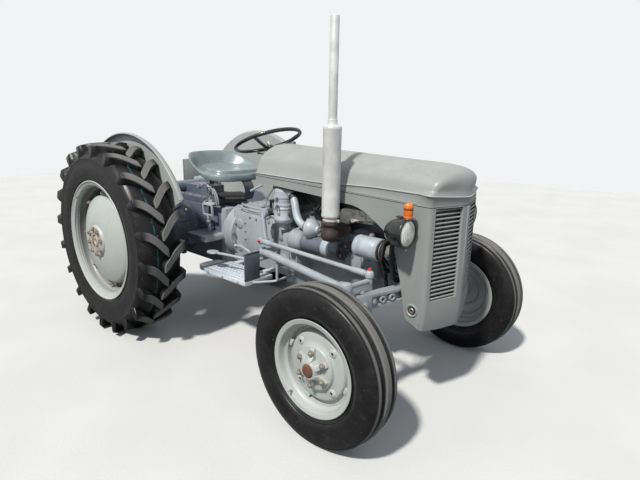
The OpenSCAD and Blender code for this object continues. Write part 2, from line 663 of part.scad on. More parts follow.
module fenders() {
    y = fender_y;
    r = fender_r;
    c = rear_axle_z - 12;
    // Side view between the crown and the lower edge
    module cut() polygon([[r * 0.9, c + 318], [r * 0.8, c + 302], [300, c + 150], [200, c + 88], [-r - 40, c + 88],
        [-r - 40, c + r + 40], [r + 40, c + r + 40], [r + 40, c + 430], [r * 0.86, c + 352]]);
    color(GREY) shift() {
        both() {
            side_plate([y - 2, y + 2]) intersection() {
                difference() {
                    translate([0, c]) circle(r = r - 2, $fn = 96);
                    translate([0, rear_axle_z]) circle(r = 50);
                }
                cut();
            }
            side_plate([y - 2, y + fender_w]) intersection() {
                difference() {
                    translate([0, c]) circle(r = r, $fn = 96);
                    translate([0, c]) circle(r = r - 4, $fn = 96);
                }
                cut();
            }
            // Turned-down outer edge
            side_plate([y + fender_w - 4, y + fender_w]) intersection() {
                difference() {
                    translate([0, c]) circle(r = r - 1, $fn = 96);
                    translate([0, c]) circle(r = r - 13, $fn = 96);
                }
                cut();
            }
        }
        // Blank plate carrier on the left fender
        box([-704, -600], [y - 10, y], [800, 840]);
        box([-704, -700], [304, y - 4], [735, 1010]);
    }
}
module levers() {
    color(SILVER) shift() {
        // Lift control quadrant, two arc plates on a foot
        for (y = [-206, -190]) side_plate([y, y + 6]) difference() {
            translate([318, 832]) circle(r = 128);
            translate([318, 832]) circle(r = 108);
            polygon([[100, 600], [600, 600], [600, 828], [318, 828], [150, 1000], [100, 1000]]);
        }
        for (a = [20, 62, 104]) translate([318, 0, 832]) rotate([0, -a, 0]) cyl_y(118, [-201, -189], 0, 5);
        side_plate([-206, -184]) polygon([[300, 806], [328, 806], [446, 834], [426, 834]]);
        box([298, 328], [-206, -150 - gap], [806, 832]);
        bar([318, -195, 828], [372, -195, 925], 6);
        // Gear lever
        cyl_z(800, 0, [835 + gap, 960], 8);
    }
}

// Rear linkage
module lift_arms() {
    color(SILVER) shift() {
        cyl_y(rock_x, [-240, 240], rock_z, 27);
        both() {
            cyl_y(rock_x, [212, 240], rock_z, 40);
            side_plate([212, 240]) polygon([[rock_x, rock_z + 36], [arm_end_x, rock_z + 22], [arm_end_x, rock_z - 22], [rock_x, rock_z - 36]]);
            cyl_y(arm_end_x, [212, 240], rock_z, 22);
            cyl_y(arm_end_x, [239, 274], rock_z, 10);
        }
    }
}
module lift_rod(s) {
    color(SILVER) shift() {
        difference() {
            cyl_y(arm_end_x, [min(s * 246, s * 266), max(s * 246, s * 266)], rock_z, 24);
            cyl_y(arm_end_x, [min(s * 240, s * 270), max(s * 240, s * 270)], rock_z, 10 + fit_gap);
        }
        bar([arm_end_x, s * 256, rock_z - 16], [link_attach_x, s * 288, link_pivot_z + 8], 12);
        cyl_y(link_attach_x, [min(s * 278, s * 298), max(s * 278, s * 298)], link_pivot_z, 22);
    }
}
module lower_link(s) {
    color(SILVER) shift() difference() {
        union() {
            cyl_y(link_pivot_x, [min(s * 196, s * 214), max(s * 196, s * 214)], link_pivot_z, 24);
            cyl_y(link_end_x, [min(s * 235, s * 265), max(s * 235, s * 265)], link_pivot_z, 24);
            plan_plate([link_pivot_z - 20, link_pivot_z + 20]) polygon([[link_pivot_x, s * 198], [link_pivot_x, s * 212],
                [link_end_x + 15, s * 258], [link_end_x + 15, s * 242]]);
        }
        cyl_y(link_end_x, [min(s * 220, s * 280), max(s * 220, s * 280)], link_pivot_z, link_bore_r);
        cyl_y(link_pivot_x, [min(s * 180, s * 230), max(s * 180, s * 230)], link_pivot_z, 12);
    }
}

front_support();
front_axle();
radius_rods();
engine();
manifold();
radiator();
fan();
gearbox_case();
rear_axle_case();
lift_cover();
pto_shaft();
fuel_tank();
dash();
exhaust_stack();
air_cleaner();
dynamo();
starter();
headlamps();
lamp_lenses();
indicators();
footrests();
pedals();
seat();
seat_spring();
fenders();
levers();
hood();
nose();
grille();
steering_wheel();
drop_arm(-1);  // drop_arm_r
drop_arm(1);  // drop_arm_l
drag_link(-1);  // drag_link_r
drag_link(1);  // drag_link_l
knuckle(-1);  // knuckle_r
knuckle(1);  // knuckle_l
front_wheel(-1);  // wheel_fr
front_wheel(1);  // wheel_fl
rear_wheel(-1);  // wheel_rr
rear_wheel(1);  // wheel_rl
front_tyre(-1);  // tyre_fr
front_tyre(1);  // tyre_fl
rear_tyre(-1);  // tyre_rr
rear_tyre(1);  // tyre_rl
lift_arms();
lift_rod(-1);  // lift_rod_r
lift_rod(1);  // lift_rod_l
lower_link(-1);  // lower_link_r
lower_link(1);  // lower_link_l
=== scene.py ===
import json
import math

import bmesh
import bpy
from bpy.props import FloatProperty, FloatVectorProperty, IntProperty, PointerProperty
from mathutils import Matrix, Vector


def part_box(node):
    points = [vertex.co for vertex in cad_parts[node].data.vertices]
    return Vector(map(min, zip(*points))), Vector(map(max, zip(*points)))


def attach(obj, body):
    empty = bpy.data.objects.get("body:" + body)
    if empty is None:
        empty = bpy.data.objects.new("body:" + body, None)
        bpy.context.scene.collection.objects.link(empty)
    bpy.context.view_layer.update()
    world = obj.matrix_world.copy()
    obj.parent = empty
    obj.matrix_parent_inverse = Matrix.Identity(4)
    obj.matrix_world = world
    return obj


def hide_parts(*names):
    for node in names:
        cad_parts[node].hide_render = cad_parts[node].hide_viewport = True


bl_info = {
    "name": "Vintage Tractor",
    "version": (1, 0, 0),
    "blender": (4, 5, 0),
    "location": "View3D > Sidebar > Tractor",
    "description": "Builds the visible pieces and finishes of a small grey tractor around its CAD frame",
    "category": "Object",
}

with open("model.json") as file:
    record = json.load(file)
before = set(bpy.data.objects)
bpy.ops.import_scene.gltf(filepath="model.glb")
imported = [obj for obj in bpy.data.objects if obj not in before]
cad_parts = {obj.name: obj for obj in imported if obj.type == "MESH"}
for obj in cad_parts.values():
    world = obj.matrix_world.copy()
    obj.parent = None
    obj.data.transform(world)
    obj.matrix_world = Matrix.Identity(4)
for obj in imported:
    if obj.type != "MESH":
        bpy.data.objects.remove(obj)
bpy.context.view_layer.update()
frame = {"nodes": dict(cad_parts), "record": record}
# Distances are in millimetres, with X measured forward from the rear axle
REAR_X = 500 * (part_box("tyre_rr")[0][0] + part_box("tyre_rr")[1][0])
WHEELBASE = 500 * (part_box("tyre_fr")[0][0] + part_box("tyre_fr")[1][0]) - REAR_X
REAR_TRACK = -500 * (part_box("tyre_rr")[0][1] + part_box("tyre_rr")[1][1])
FRONT_TRACK = -500 * (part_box("tyre_fr")[0][1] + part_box("tyre_fr")[1][1])
REAR_Z = 500 * (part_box("tyre_rr")[0][2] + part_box("tyre_rr")[1][2])
FRONT_Z = 500 * (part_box("tyre_fr")[0][2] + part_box("tyre_fr")[1][2])
SIDES = (("r", -1), ("l", 1))


def metres(point):
    return Vector(((point[0] + REAR_X) / 1000, point[1] / 1000, point[2] / 1000))


# Shapes

class Shape:
    """Points and faces of a piece, in millimetres."""

    def __init__(self, points=(), faces=()):
        self.points = [Vector(p) for p in points]
        self.faces = [tuple(f) for f in faces]

    def __add__(self, other):
        return joined([self, other])

    def mapped(self, change):
        return Shape([change(p) for p in self.points], self.faces)

    def moved(self, x=0, y=0, z=0):
        step = Vector((x, y, z))
        return self.mapped(lambda p: p + step)

    def turned(self, degrees, axis, centre=(0, 0, 0)):
        c = Vector(centre)
        m = Matrix.Rotation(math.radians(degrees), 3, axis)
        return self.mapped(lambda p: m @ (p - c) + c)

    def mirrored(self):
        return Shape([(p.x, -p.y, p.z) for p in self.points], [f[::-1] for f in self.faces])

    def both(self):
        return self + self.mirrored()

    def on(self, side):
        """The right side is built, and the left one is its mirror image."""
        return self if side < 0 else self.mirrored()


def joined(shapes):
    result = Shape()
    for shape in shapes:
        n = len(result.points)
        result.points += shape.points
        result.faces += [tuple(n + i for i in f) for f in shape.faces]
    return result


def grid(rows, closed=False):
    """A sheet through rows of points; closed joins the last row to the first."""
    m = len(rows[0])
    points = [p for row in rows for p in row]
    faces = []
    for i in range(len(rows) if closed else len(rows) - 1):
        a, b = i * m, ((i + 1) % len(rows)) * m
        faces += [(a + j, a + j + 1, b + j + 1, b + j) for j in range(m - 1)]
    return Shape(points, faces)


def block(lo, hi):
    x, y, z = zip(lo, hi)
    points = [(x[i], y[j], z[k]) for i in (0, 1) for j in (0, 1) for k in (0, 1)]
    return Shape(points, [(0, 1, 3, 2), (4, 6, 7, 5), (0, 4, 5, 1), (2, 3, 7, 6), (0, 2, 6, 4), (1, 5, 7, 3)])


def placed(axis, u, v, t):
    """The point at (u, v) in the plane across an axis, and at t along it."""
    return {"x": (t, u, v), "y": (u, t, v), "z": (u, v, t)}[axis]


def polar(r, a, u=0, v=0):
    """The point at a distance and an angle, in radians, from (u, v)."""
    return u + r * math.cos(a), v + r * math.sin(a)


def prism(outline, lo, hi, axis):
    """An outline in the plane across the axis, extruded from lo to hi."""
    n = len(outline)
    points = [placed(axis, *p, t) for t in (lo, hi) for p in outline]
    faces = [(i, (i + 1) % n, n + (i + 1) % n, n + i) for i in range(n)]
    return Shape(points, faces + [tuple(range(n))[::-1], tuple(range(n, 2 * n))])


def lathe(profile, centre, axis, steps):
    """Turns (radius, offset) pairs about an axis through the centre."""
    rows = []
    for i in range(steps):
        c, s = polar(1, math.radians(360.0 * i / steps))
        row = []
        for r, t in profile:
            p = placed(axis, r * c, r * s, t)
            row.append((p[0] + centre[0], p[1] + centre[1], p[2] + centre[2]))
        rows.append(row)
    return grid(rows, True)


def arc(cx, cz, r, a0, a1, n):
    return [polar(r, math.radians(a0 + (a1 - a0) * i / n), cx, cz) for i in range(n + 1)]


def rounded(points, steps):
    """A smooth curve through the points."""
    pts = [Vector(p) for p in points]
    out = []
    for i in range(len(pts) - 1):
        p1, p2 = pts[i], pts[i + 1]
        p0 = pts[i - 1] if i else p1 * 2 - p2
        p3 = pts[i + 2] if i < len(pts) - 2 else p2 * 2 - p1
        for k in range(steps):
            t = k / steps
            out.append(0.5 * (2 * p1 + (p2 - p0) * t + (2 * p0 - 5 * p1 + 4 * p2 - p3) * t * t
                              + (3 * p1 - p0 - 3 * p2 + p3) * t ** 3))
    return out + [pts[-1]]


def bridge(n, m, closed=False):
    """Faces between n closed rings of m points, with the end rings filled unless the last joins the first."""
    faces = []
    for i in range(n if closed else n - 1):
        a, b = i * m, ((i + 1) % n) * m
        faces += [(a + j, a + (j + 1) % m, b + (j + 1) % m, b + j) for j in range(m)]
    if not closed:
        faces += [tuple(range(m))[::-1], tuple(range((n - 1) * m, n * m))]
    return faces


def sweep(path, section, up=(0, 0, 1), closed=False):
    """Carries a closed section of (side, up) pairs along a path."""
    pts = [Vector(p) for p in path]
    n = len(pts)
    points = []
    last = Vector(up)
    for i, p in enumerate(pts):
        a = pts[i - 1] if closed or i else p
        b = pts[(i + 1) % n] if closed or i < n - 1 else p
        t = (b - a).normalized()
        side = t.cross(last)
        if side.length < 1e-6:
            side = t.cross(Vector((0.3, 1, 0.1)))
        side.normalize()
        last = side.cross(t)
        points += [p + side * s + last * v for s, v in section]
    return Shape(points, bridge(n, len(section), closed))


def oblong(w, h):
    """The section of a flat bar, from its half width and half height."""
    return [(-w, -h), (w, -h), (w, h), (-w, h)]


def circle(r, n):
    return [polar(r, 2 * math.pi * i / n) for i in range(n)]


def tube(path, r, sides=14, steps=6):
    """A round bar or pipe."""
    return sweep(rounded(path, steps), circle(r, sides))


def rod(a, b, r, sides=20):
    return sweep([a, b], circle(r, sides))


def ball(centre, r, steps=16):
    half = [math.pi * i / 10 for i in range(11)]
    return lathe([(r * math.sin(a), -r * math.cos(a)) for a in half], centre, "z", steps)


def loft(rows):
    """Closed sections joined in order, with both ends closed."""
    return Shape([p for row in rows for p in row], bridge(len(rows), len(rows[0])))


def slab(lo, hi, taper):
    """A cast block whose top is a little smaller than its base."""
    (x0, y0, z0), (x1, y1, z1) = lo, hi
    s = taper
    return loft([[(x0, y0, z0), (x1, y0, z0), (x1, y1, z0), (x0, y1, z0)],
                 [(x0 + s, y0 + s, z1), (x1 - s, y0 + s, z1), (x1 - s, y1 - s, z1), (x0 + s, y1 - s, z1)]])


def turned_x(profile, y, z, steps=44):
    """A round body along X from (radius, x) pairs."""
    return lathe(profile, (0, y, z), "x", steps)


def turned_z(profile, x, y, steps):
    """A round body along Z from (radius, z) pairs."""
    return lathe(profile, (x, y, 0), "z", steps)


# Pieces

def linked(name, mesh):
    thing = bpy.data.objects.new(name, mesh)
    bpy.context.scene.collection.objects.link(thing)
    return thing


def settled(thing):
    """Turns an object with modifiers into a plain mesh."""
    graph = bpy.context.evaluated_depsgraph_get()
    mesh = bpy.data.meshes.new_from_object(thing.evaluated_get(graph), preserve_all_data_layers=True, depsgraph=graph)
    old = thing.data
    thing.modifiers.clear()
    thing.data = mesh
    bpy.data.meshes.remove(old)
    return thing


def as_object(name, shape, clean=True):
    mesh = bpy.data.meshes.new(name)
    mesh.from_pydata([metres(p) for p in shape.points], [], shape.faces)
    if clean:
        bm = bmesh.new()
        bm.from_mesh(mesh)
        bmesh.ops.remove_doubles(bm, verts=bm.verts, dist=2e-5)
        bmesh.ops.dissolve_degenerate(bm, dist=1e-6, edges=bm.edges)
        bmesh.ops.recalc_face_normals(bm, faces=bm.faces)
        bm.to_mesh(mesh)
        bm.free()
    return linked(name, mesh)


def soft_edges(thing, width, steps=2):
    m = thing.modifiers.new("edges", "BEVEL")
    m.width, m.segments, m.limit_method, m.angle_limit = width / 1000, steps, "ANGLE", math.radians(28)
    m.use_clamp_overlap = True


def smoothed(thing, angle, finish=None):
    """Smooth shading up to an angle, and one finish."""
    thing.data.shade_smooth()
    thing.data.set_sharp_from_angle(angle=math.radians(angle))
    if finish:
        thing.data.materials.clear()
        thing.data.materials.append(FINISHES[finish])


def piece(name, shape, finish, body, stands_for=(), slot=None, bevel=0.0, wall=0.0, angle=32.0, steps=2,
          levels=0, trees=()):
    """Makes one finished piece that rides on a body."""
    thing = as_object(name, shape)
    if wall:
        m = thing.modifiers.new("wall", "SOLIDIFY")
        m.thickness, m.offset = wall / 1000, -1
    if levels:
        m = thing.modifiers.new("curve", "SUBSURF")
        m.levels = m.render_levels = levels
    if bevel:
        soft_edges(thing, bevel, steps)
    for tree, values in trees:
        add_tree(thing, tree, values)
    if thing.modifiers:
        settled(thing)
    smoothed(thing, angle, finish)
    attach(thing, body)
    if stands_for:
        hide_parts(*stands_for)
    return thing


def fitted(name, shape, finish, slot, **more):
    """A piece on the chassis that shares the slot of a CAD node."""
    return piece(name, shape, finish, "chassis", slot=slot, **more)


# Geometry Nodes trees for what repeats

class Tree:
    """A Geometry Nodes group built from plain calls."""

    def __init__(self, name):
        self.group = bpy.data.node_groups.new(name, "GeometryNodeTree")
        self.group.interface.new_socket("Geometry", in_out="INPUT", socket_type="NodeSocketGeometry")
        self.group.interface.new_socket("Geometry", in_out="OUTPUT", socket_type="NodeSocketGeometry")
        self.keys = {}

    def input(self, name, kind, default=None):
        socket = self.group.interface.new_socket(name, in_out="INPUT", socket_type="NodeSocket" + kind)
        if default is not None:
            socket.default_value = default
        self.keys[name] = socket.identifier

    def start(self):
        self.source = self.group.nodes.new("NodeGroupInput")

    def get(self, name):
        return self.source.outputs[name]

    def node(self, kind, settings=None, inputs=None, out=0):
        node = self.group.nodes.new(kind)
        for key, value in (settings or {}).items():
            setattr(node, key, value)
        for key, value in (inputs or {}).items():
            socket = node.inputs[key]
            if isinstance(value, bpy.types.NodeSocket):
                self.group.links.new(value, socket)
            else:
                socket.default_value = value
        return node.outputs[out]

    def end(self, geometry):
        flat = self.node("GeometryNodeRealizeInstances", inputs={0: geometry})
        done = self.node("GeometryNodeSetMaterial", inputs={"Geometry": flat, "Material": self.get("Material")})
        out = self.group.nodes.new("NodeGroupOutput")
        self.group.links.new(done, out.inputs[0])
        return self


def add_tree(thing, tree, values):
    m = thing.modifiers.new(tree.group.name, "NODES")
    m.node_group = tree.group
    for key, value in values.items():
        m[tree.keys[key]] = FINISHES[value] if key == "Material" else value
    thing.data.update()


def make_ring_tree():
    """Copies a part around a cross axis, evenly spaced."""
    t = Tree("copies_around_axle")
    t.input("Count", "Int", 8)
    t.input("Centre", "Vector")
    t.input("Material", "Material")
    t.start()
    points = t.node("GeometryNodeMeshLine", inputs={"Count": t.get("Count"), "Offset": (0, 0, 0)})
    step = t.node("ShaderNodeMath", {"operation": "DIVIDE"}, {0: 2 * math.pi, 1: t.get("Count")})
    turn = t.node("ShaderNodeMath", {"operation": "MULTIPLY"}, {0: t.node("GeometryNodeInputIndex"), 1: step})
    spin = t.node("ShaderNodeCombineXYZ", inputs={1: turn})
    back = t.node("ShaderNodeVectorMath", {"operation": "SCALE"}, {0: t.get("Centre"), "Scale": -1.0})
    local = t.node("GeometryNodeTransform", inputs={"Geometry": t.get("Geometry"), "Translation": back})
    ring = t.node("GeometryNodeInstanceOnPoints", inputs={"Points": points, "Instance": local, "Rotation": spin})
    return t.end(t.node("GeometryNodeTransform", inputs={"Geometry": ring, "Translation": t.get("Centre")}))


def make_row_tree():
    """Copies a part along a straight line."""
    t = Tree("copies_in_row")
    t.input("Count", "Int", 8)
    t.input("Step", "Vector")
    t.input("Material", "Material")
    t.start()
    points = t.node("GeometryNodeMeshLine", inputs={"Count": t.get("Count"), "Offset": t.get("Step")})
    return t.end(t.node("GeometryNodeInstanceOnPoints", inputs={"Points": points, "Instance": t.get("Geometry")}))


def make_bolt_tree():
    """Sets a bolt head with its washer on each point, along the point's aim."""
    t = Tree("bolts_on_points")
    t.input("Radius", "Float", 0.009)
    t.input("Height", "Float", 0.007)
    t.input("Material", "Material")
    t.start()
    r, h = t.get("Radius"), t.get("Height")

    def cylinder(sides, radius, depth, lift):
        shape = t.node("GeometryNodeMeshCylinder", inputs={"Vertices": sides, "Radius": radius, "Depth": depth})
        up = t.node("ShaderNodeCombineXYZ", inputs={2: lift})
        return t.node("GeometryNodeTransform", inputs={"Geometry": shape, "Translation": up})

    def times(a, k):
        return t.node("ShaderNodeMath", {"operation": "MULTIPLY"}, {0: a, 1: k})
    join = t.group.nodes.new("GeometryNodeJoinGeometry")
    parts = (cylinder(6, r, h, times(h, 0.5)), cylinder(16, times(r, 1.35), times(h, 0.3), times(h, 0.1)),
             cylinder(12, times(r, 0.52), times(h, 0.6), times(h, 1.1)))
    for part in parts:
        t.group.links.new(part, join.inputs[0])
    aim = t.node("GeometryNodeInputNamedAttribute", {"data_type": "FLOAT_VECTOR"}, {"Name": "aim"})
    turn = t.node("FunctionNodeAlignRotationToVector", {"axis": "Z"}, {"Vector": aim})
    return t.end(t.node("GeometryNodeInstanceOnPoints", inputs={
        "Points": t.get("Geometry"), "Instance": join.outputs[0], "Rotation": turn}))


def bolts(name, places, finish, radius, height, body="chassis"):
    """Bolt heads at (point, aim) places on one body."""
    mesh = bpy.data.meshes.new(name)
    mesh.from_pydata([metres(p) for p, aim in places], [], [])
    data = mesh.attributes.new("aim", "FLOAT_VECTOR", "POINT").data
    for item, (p, aim) in zip(data, places):
        item.vector = Vector(aim).normalized()
    thing = linked(name, mesh)
    add_tree(thing, TREES["bolts"], {"Radius": radius / 1000, "Height": height / 1000, "Material": finish})
    settled(thing)
    smoothed(thing, 30)
    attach(thing, body)


def around(x, z, r, y, aim_y, count, start=0.0):
    """Places on a circle about a cross axis."""
    ring = [polar(r, math.radians(start + i * 360 / count), x, z) for i in range(count)]
    return [((px, y, pz), (0, aim_y, 0)) for px, pz in ring]


def facing_x(x, r, y, z, aim_x, angles):
    """Places on a circle about a lengthwise axis, at angles in radians."""
    return [((x, *polar(r, a, y, z)), (aim_x, 0, 0)) for a in angles]


# Finishes

class Value:
    """A shader socket that takes part in Python expressions."""

    def __init__(self, owner, socket):
        self.owner, self.socket = owner, socket

    def math(self, operation, *values):
        return self.owner.node("ShaderNodeMath", {"operation": operation}, dict(enumerate((self,) + values)))

    def __add__(self, other): return self.math("ADD", other)
    __radd__ = __add__
    def __sub__(self, other): return self.math("SUBTRACT", other)
    def __rsub__(self, other): return self.owner.node("ShaderNodeMath", {"operation": "SUBTRACT"}, {0: other, 1: self})
    def __mul__(self, other): return self.math("MULTIPLY", other)
    __rmul__ = __mul__
    def __pow__(self, other): return self.math("POWER", other)
    def __abs__(self): return self.math("ABSOLUTE")

    def between(self, low, high):
        """0 below low, 1 above high, smooth between."""
        return self.owner.node("ShaderNodeMapRange", {"interpolation_type": "SMOOTHSTEP"},
                               {0: self, 1: low, 2: high, 3: 0.0, 4: 1.0})


class Finish:
    """One procedural material, read in object coordinates."""

    def __init__(self, name, rough=0.5, metal=0.0, coat=0.0, **constants):
        self.material = bpy.data.materials.new(name)
        self.material.use_nodes = True
        self.tree = self.material.node_tree
        self.tree.nodes.clear()
        self.shader = self.tree.nodes.new("ShaderNodeBsdfPrincipled")
        out = self.tree.nodes.new("ShaderNodeOutputMaterial")
        self.tree.links.new(self.shader.outputs[0], out.inputs[0])
        self.set("Roughness", rough)
        self.set("Metallic", metal)
        self.set("Coat Weight", coat)
        for key, value in constants.items():
            self.set(key.replace("_", " ").title().replace("Ior", "IOR"), value)
        coords = self.tree.nodes.new("ShaderNodeTexCoord")
        self.place = Value(self, coords.outputs["Object"])
        self.facing = Value(self, coords.outputs["Normal"])

    def set(self, key, value):
        socket = self.shader.inputs[key]
        if isinstance(value, Value):
            self.tree.links.new(value.socket, socket)
        else:
            socket.default_value = (*value, 1.0) if isinstance(value, tuple) and len(value) == 3 else value

    def node(self, kind, settings=None, inputs=None, out=0):
        node = self.tree.nodes.new(kind)
        for key, value in (settings or {}).items():
            setattr(node, key, value)
        for key, value in (inputs or {}).items():
            socket = node.inputs[key]
            if isinstance(value, Value):
                self.tree.links.new(value.socket, socket)
            elif socket.type == "RGBA" and len(value) == 3:
                socket.default_value = (*value, 1.0)
            else:
                socket.default_value = value
        return Value(self, node.outputs[out])

    def axis(self, vector, index):
        return self.node("ShaderNodeSeparateXYZ", inputs={0: vector}, out=index)

    def noise(self, scale, detail=3.0, rough=0.5, stretch=None, distort=0.0):
        vector = self.place
        if stretch:
            vector = self.node("ShaderNodeMapping", inputs={0: vector, 3: stretch})
        return self.node("ShaderNodeTexNoise", inputs={"Vector": vector, "Scale": scale, "Detail": detail,
                                                      "Roughness": rough, "Distortion": distort})

    def mix(self, factor, a, b):
        node = self.tree.nodes.new("ShaderNodeMix")
        node.data_type = "RGBA"
        for index, value in ((0, factor), (6, a), (7, b)):
            if isinstance(value, Value):
                self.tree.links.new(value.socket, node.inputs[index])
            else:
                node.inputs[index].default_value = (*value, 1.0) if index else value
        return Value(self, node.outputs[2])

    def bump(self, height, depth):
        self.set("Normal", self.node("ShaderNodeBump", inputs={"Height": height, "Distance": depth, "Strength": 1.0}))
        return self.material

    def shade(self, colour, amount, scale):
        """The colour with broad lighter and darker areas."""
        return self.mix(self.noise(scale).between(0.3, 0.7), tint(colour, 1 - amount), tint(colour, 1 + amount))


def tint(colour, k):
    return tuple(min(1, c * k) for c in colour)


def sheet_paint(name, colour, dust=0.3, rough=0.42, well=False):
    """Old brushed-over sheet metal paint, chalked, with runs of dirt and a few chips."""
    f = Finish(name, rough=rough, coat=0.12, coat_roughness=0.25)
    base = f.shade(colour, 0.06, 2.2)
    runs = f.noise(26, 4, 0.6, (1.0, 1.0, 0.12)).between(0.52, 0.8)
    base = f.mix(runs * 0.35, base, tint(colour, 0.72))
    specks = f.noise(140, 2, 0.6).between(0.66, 0.78)
    base = f.mix(specks * 0.4, base, tint(colour, 1.25))
    up = f.axis(f.facing, 2).between(0.3, 1.0)
    base = f.mix(up * f.noise(9, 5, 0.65).between(0.35, 0.75) * dust, base, (0.42, 0.39, 0.33))
    if well:
        # Painted shade: the rear rim's well is darkened, most at its top
        dx, z = f.axis(f.place, 0) - REAR_X / 1000, f.axis(f.place, 2)
        dz = z - REAR_Z / 1000
        well_shade = ((dx * dx + dz * dz) ** 0.5).between(0.353, 0.338)
        base = f.mix(well_shade * (z.between(0.2, 0.65) * 0.42 + 0.4), base, (0.05, 0.048, 0.044))
    chips = f.noise(52, 6, 0.7).between(0.73, 0.76)
    f.set("Base Color", f.mix(chips, base, (0.09, 0.055, 0.035)))
    f.set("Roughness", f.noise(14, 4) * 0.25 + (rough - 0.1) + chips * 0.3 + up * 0.08)
    return f.bump(f.noise(30, 3) * 0.5 + f.noise(420, 2) * 0.12 - chips * 0.4, 0.0009)


def casting_paint(name, colour, grime=0.5, rough=0.45, ahead=None):
    """Thick paint over rough castings, with oily dirt in the low places."""
    f = Finish(name, rough=rough, coat=0.1, coat_roughness=0.3)
    base = f.shade(colour, 0.1, 5)
    # For the rear case the given colour is painted shade; in front of a line 430 mm ahead of the rear axle the ahead
    # colour, the casting's own, takes over
    if ahead:
        x = f.axis(f.place, 0) - (REAR_X + 430) / 1000
        base = f.mix(x.between(-0.003, 0.003), base, ahead)
    dirt = f.noise(11, 6, 0.68, distort=0.4).between(0.5, 0.72)
    base = f.mix(dirt * grime, base, (0.10, 0.095, 0.09))
    up = f.axis(f.facing, 2).between(0.2, 0.9)
    base = f.mix(up * f.noise(30, 5, 0.7).between(0.4, 0.7) * 0.35, base, (0.38, 0.35, 0.30))
    # Painted shade: faces that look down are darkened
    down = (f.axis(f.facing, 2) * -1.0).between(0.1, 0.8)
    base = f.mix(down * 0.45, base, (0.07, 0.065, 0.06))
    chips = f.noise(75, 6, 0.75).between(0.69, 0.73)
    f.set("Base Color", f.mix(chips, base, (0.13, 0.06, 0.03)))
    f.set("Roughness", dirt * 0.25 + f.noise(40, 3) * 0.2 + (rough - 0.12))
    return f.bump(f.noise(260, 3, 0.6) * 0.5 + f.noise(60, 4) * 0.5 - chips * 0.3, 0.0014)


def bare_metal(name, colour, rust, rust_share=0.5, rough=0.4, metal=0.8):
    f = Finish(name, rough=rough)
    patches = f.noise(38, 7, 0.7, distort=0.3).between(0.62 - rust_share * 0.35, 0.72 - rust_share * 0.2)
    fine = f.noise(190, 4, 0.7)
    f.set("Base Color", f.mix(patches, f.shade(colour, 0.12, 30), f.mix(fine, tint(rust, 0.5), rust)))
    f.set("Metallic", (1 - patches) * metal)
    f.set("Roughness", patches * 0.45 + rough + fine * 0.1)
    return f.bump(patches * 0.5 + fine * 0.4, 0.0008)


def rubber(name, centre_x, centre_z, outer, ring_line=None):
    """Tyre rubber: black flanks, greyed and scuffed on the running faces; outer is the tread's radius in metres."""
    f = Finish(name, rough=0.4, specular_ior_level=0.26)
    x, y, z = (f.axis(f.place, i) for i in range(3))
    base = f.shade((0.0095, 0.0095, 0.0105), 0.25, 9)
    scuffs = f.noise(60, 6, 0.72, (1, 0.35, 1)).between(0.56, 0.74)
    base = f.mix(scuffs * 0.25, base, (0.05, 0.049, 0.047))
    dx, dz = x - (centre_x + REAR_X) / 1000, z - centre_z / 1000
    r = (dx * dx + dz * dz) ** 0.5
    worn = r.between(outer - 0.012, outer - 0.003)
    base = f.mix(worn * (f.noise(45, 5, 0.7) * 0.3 + 0.65), base, (0.18, 0.177, 0.172))
    dusty = f.noise(22, 5, 0.66).between(0.5, 0.75) * (1 - worn)
    base = f.mix(dusty * 0.1, base, (0.14, 0.13, 0.115))
    if ring_line:
        line = abs(abs(y) - ring_line / 1000).between(0.0036, 0.0024)
        line = line * (1 - r.between(outer - 0.030, outer - 0.026)) * r.between(outer - 0.050, outer - 0.046)
        base = f.mix(line * f.noise(30, 3).between(0.35, 0.5) * 0.7, base, (0.02, 0.17, 0.165))
    marks = f.noise(95, 2, 0.5, (1, 0.2, 1)).between(0.735, 0.75)
    base = f.mix(marks * (1 - worn) * 0.6, base, (0.30, 0.29, 0.27))
    f.set("Base Color", base)
    f.set("Roughness", 0.27 + worn * 0.4 + f.noise(18, 4) * 0.16)
    spoke = f.node("ShaderNodeCombineXYZ", inputs={0: r})
    rings = f.node("ShaderNodeTexWave", {"wave_type": "BANDS"}, {"Vector": spoke, "Scale": 26.0, "Detail": 0.0})
    return f.bump(f.noise(300, 3) * 0.35 + rings * 0.12 * (1 - worn), 0.001)


def plain(name, colour, rough, metal=0.0, coat=0.0, grain=300, depth=0.0004, spread=0.12, dust=0.0, **constants):
    """A smooth finish with slight unevenness in colour and gloss."""
    f = Finish(name, rough=rough, metal=metal, coat=coat, **constants)
    base = f.shade(colour, spread, 18)
    if dust:
        up = f.axis(f.facing, 2).between(0.1, 0.9)
        base = f.mix(up * f.noise(24, 5, 0.7).between(0.35, 0.7) * dust, base, (0.33, 0.31, 0.27))
    f.set("Base Color", base)
    f.set("Roughness", f.noise(35, 4) * 0.2 + (rough - 0.1))
    return f.bump(f.noise(grain, 3), depth)


def lens_glass(name):
    """Old headlamp glass: pale flutes over a bright bowl."""
    f = Finish(name, rough=0.12, coat=0.8)
    y = f.axis(f.place, 1)
    # Painted reflection: pale patches of shine in the glass's colour
    painted_shine = f.noise(22, 2).between(0.4, 0.62)
    flutes = (y * 520.0).math("SINE")
    base = f.mix(painted_shine, (0.80, 0.80, 0.75), (0.50, 0.49, 0.43))
    f.set("Base Color", f.mix(flutes.between(0.2, 1.0) * 0.25, base, (0.35, 0.35, 0.32)))
    return f.bump(flutes, 0.0005)


FINISHES = {}
SLOTS = {}
TREES = {}


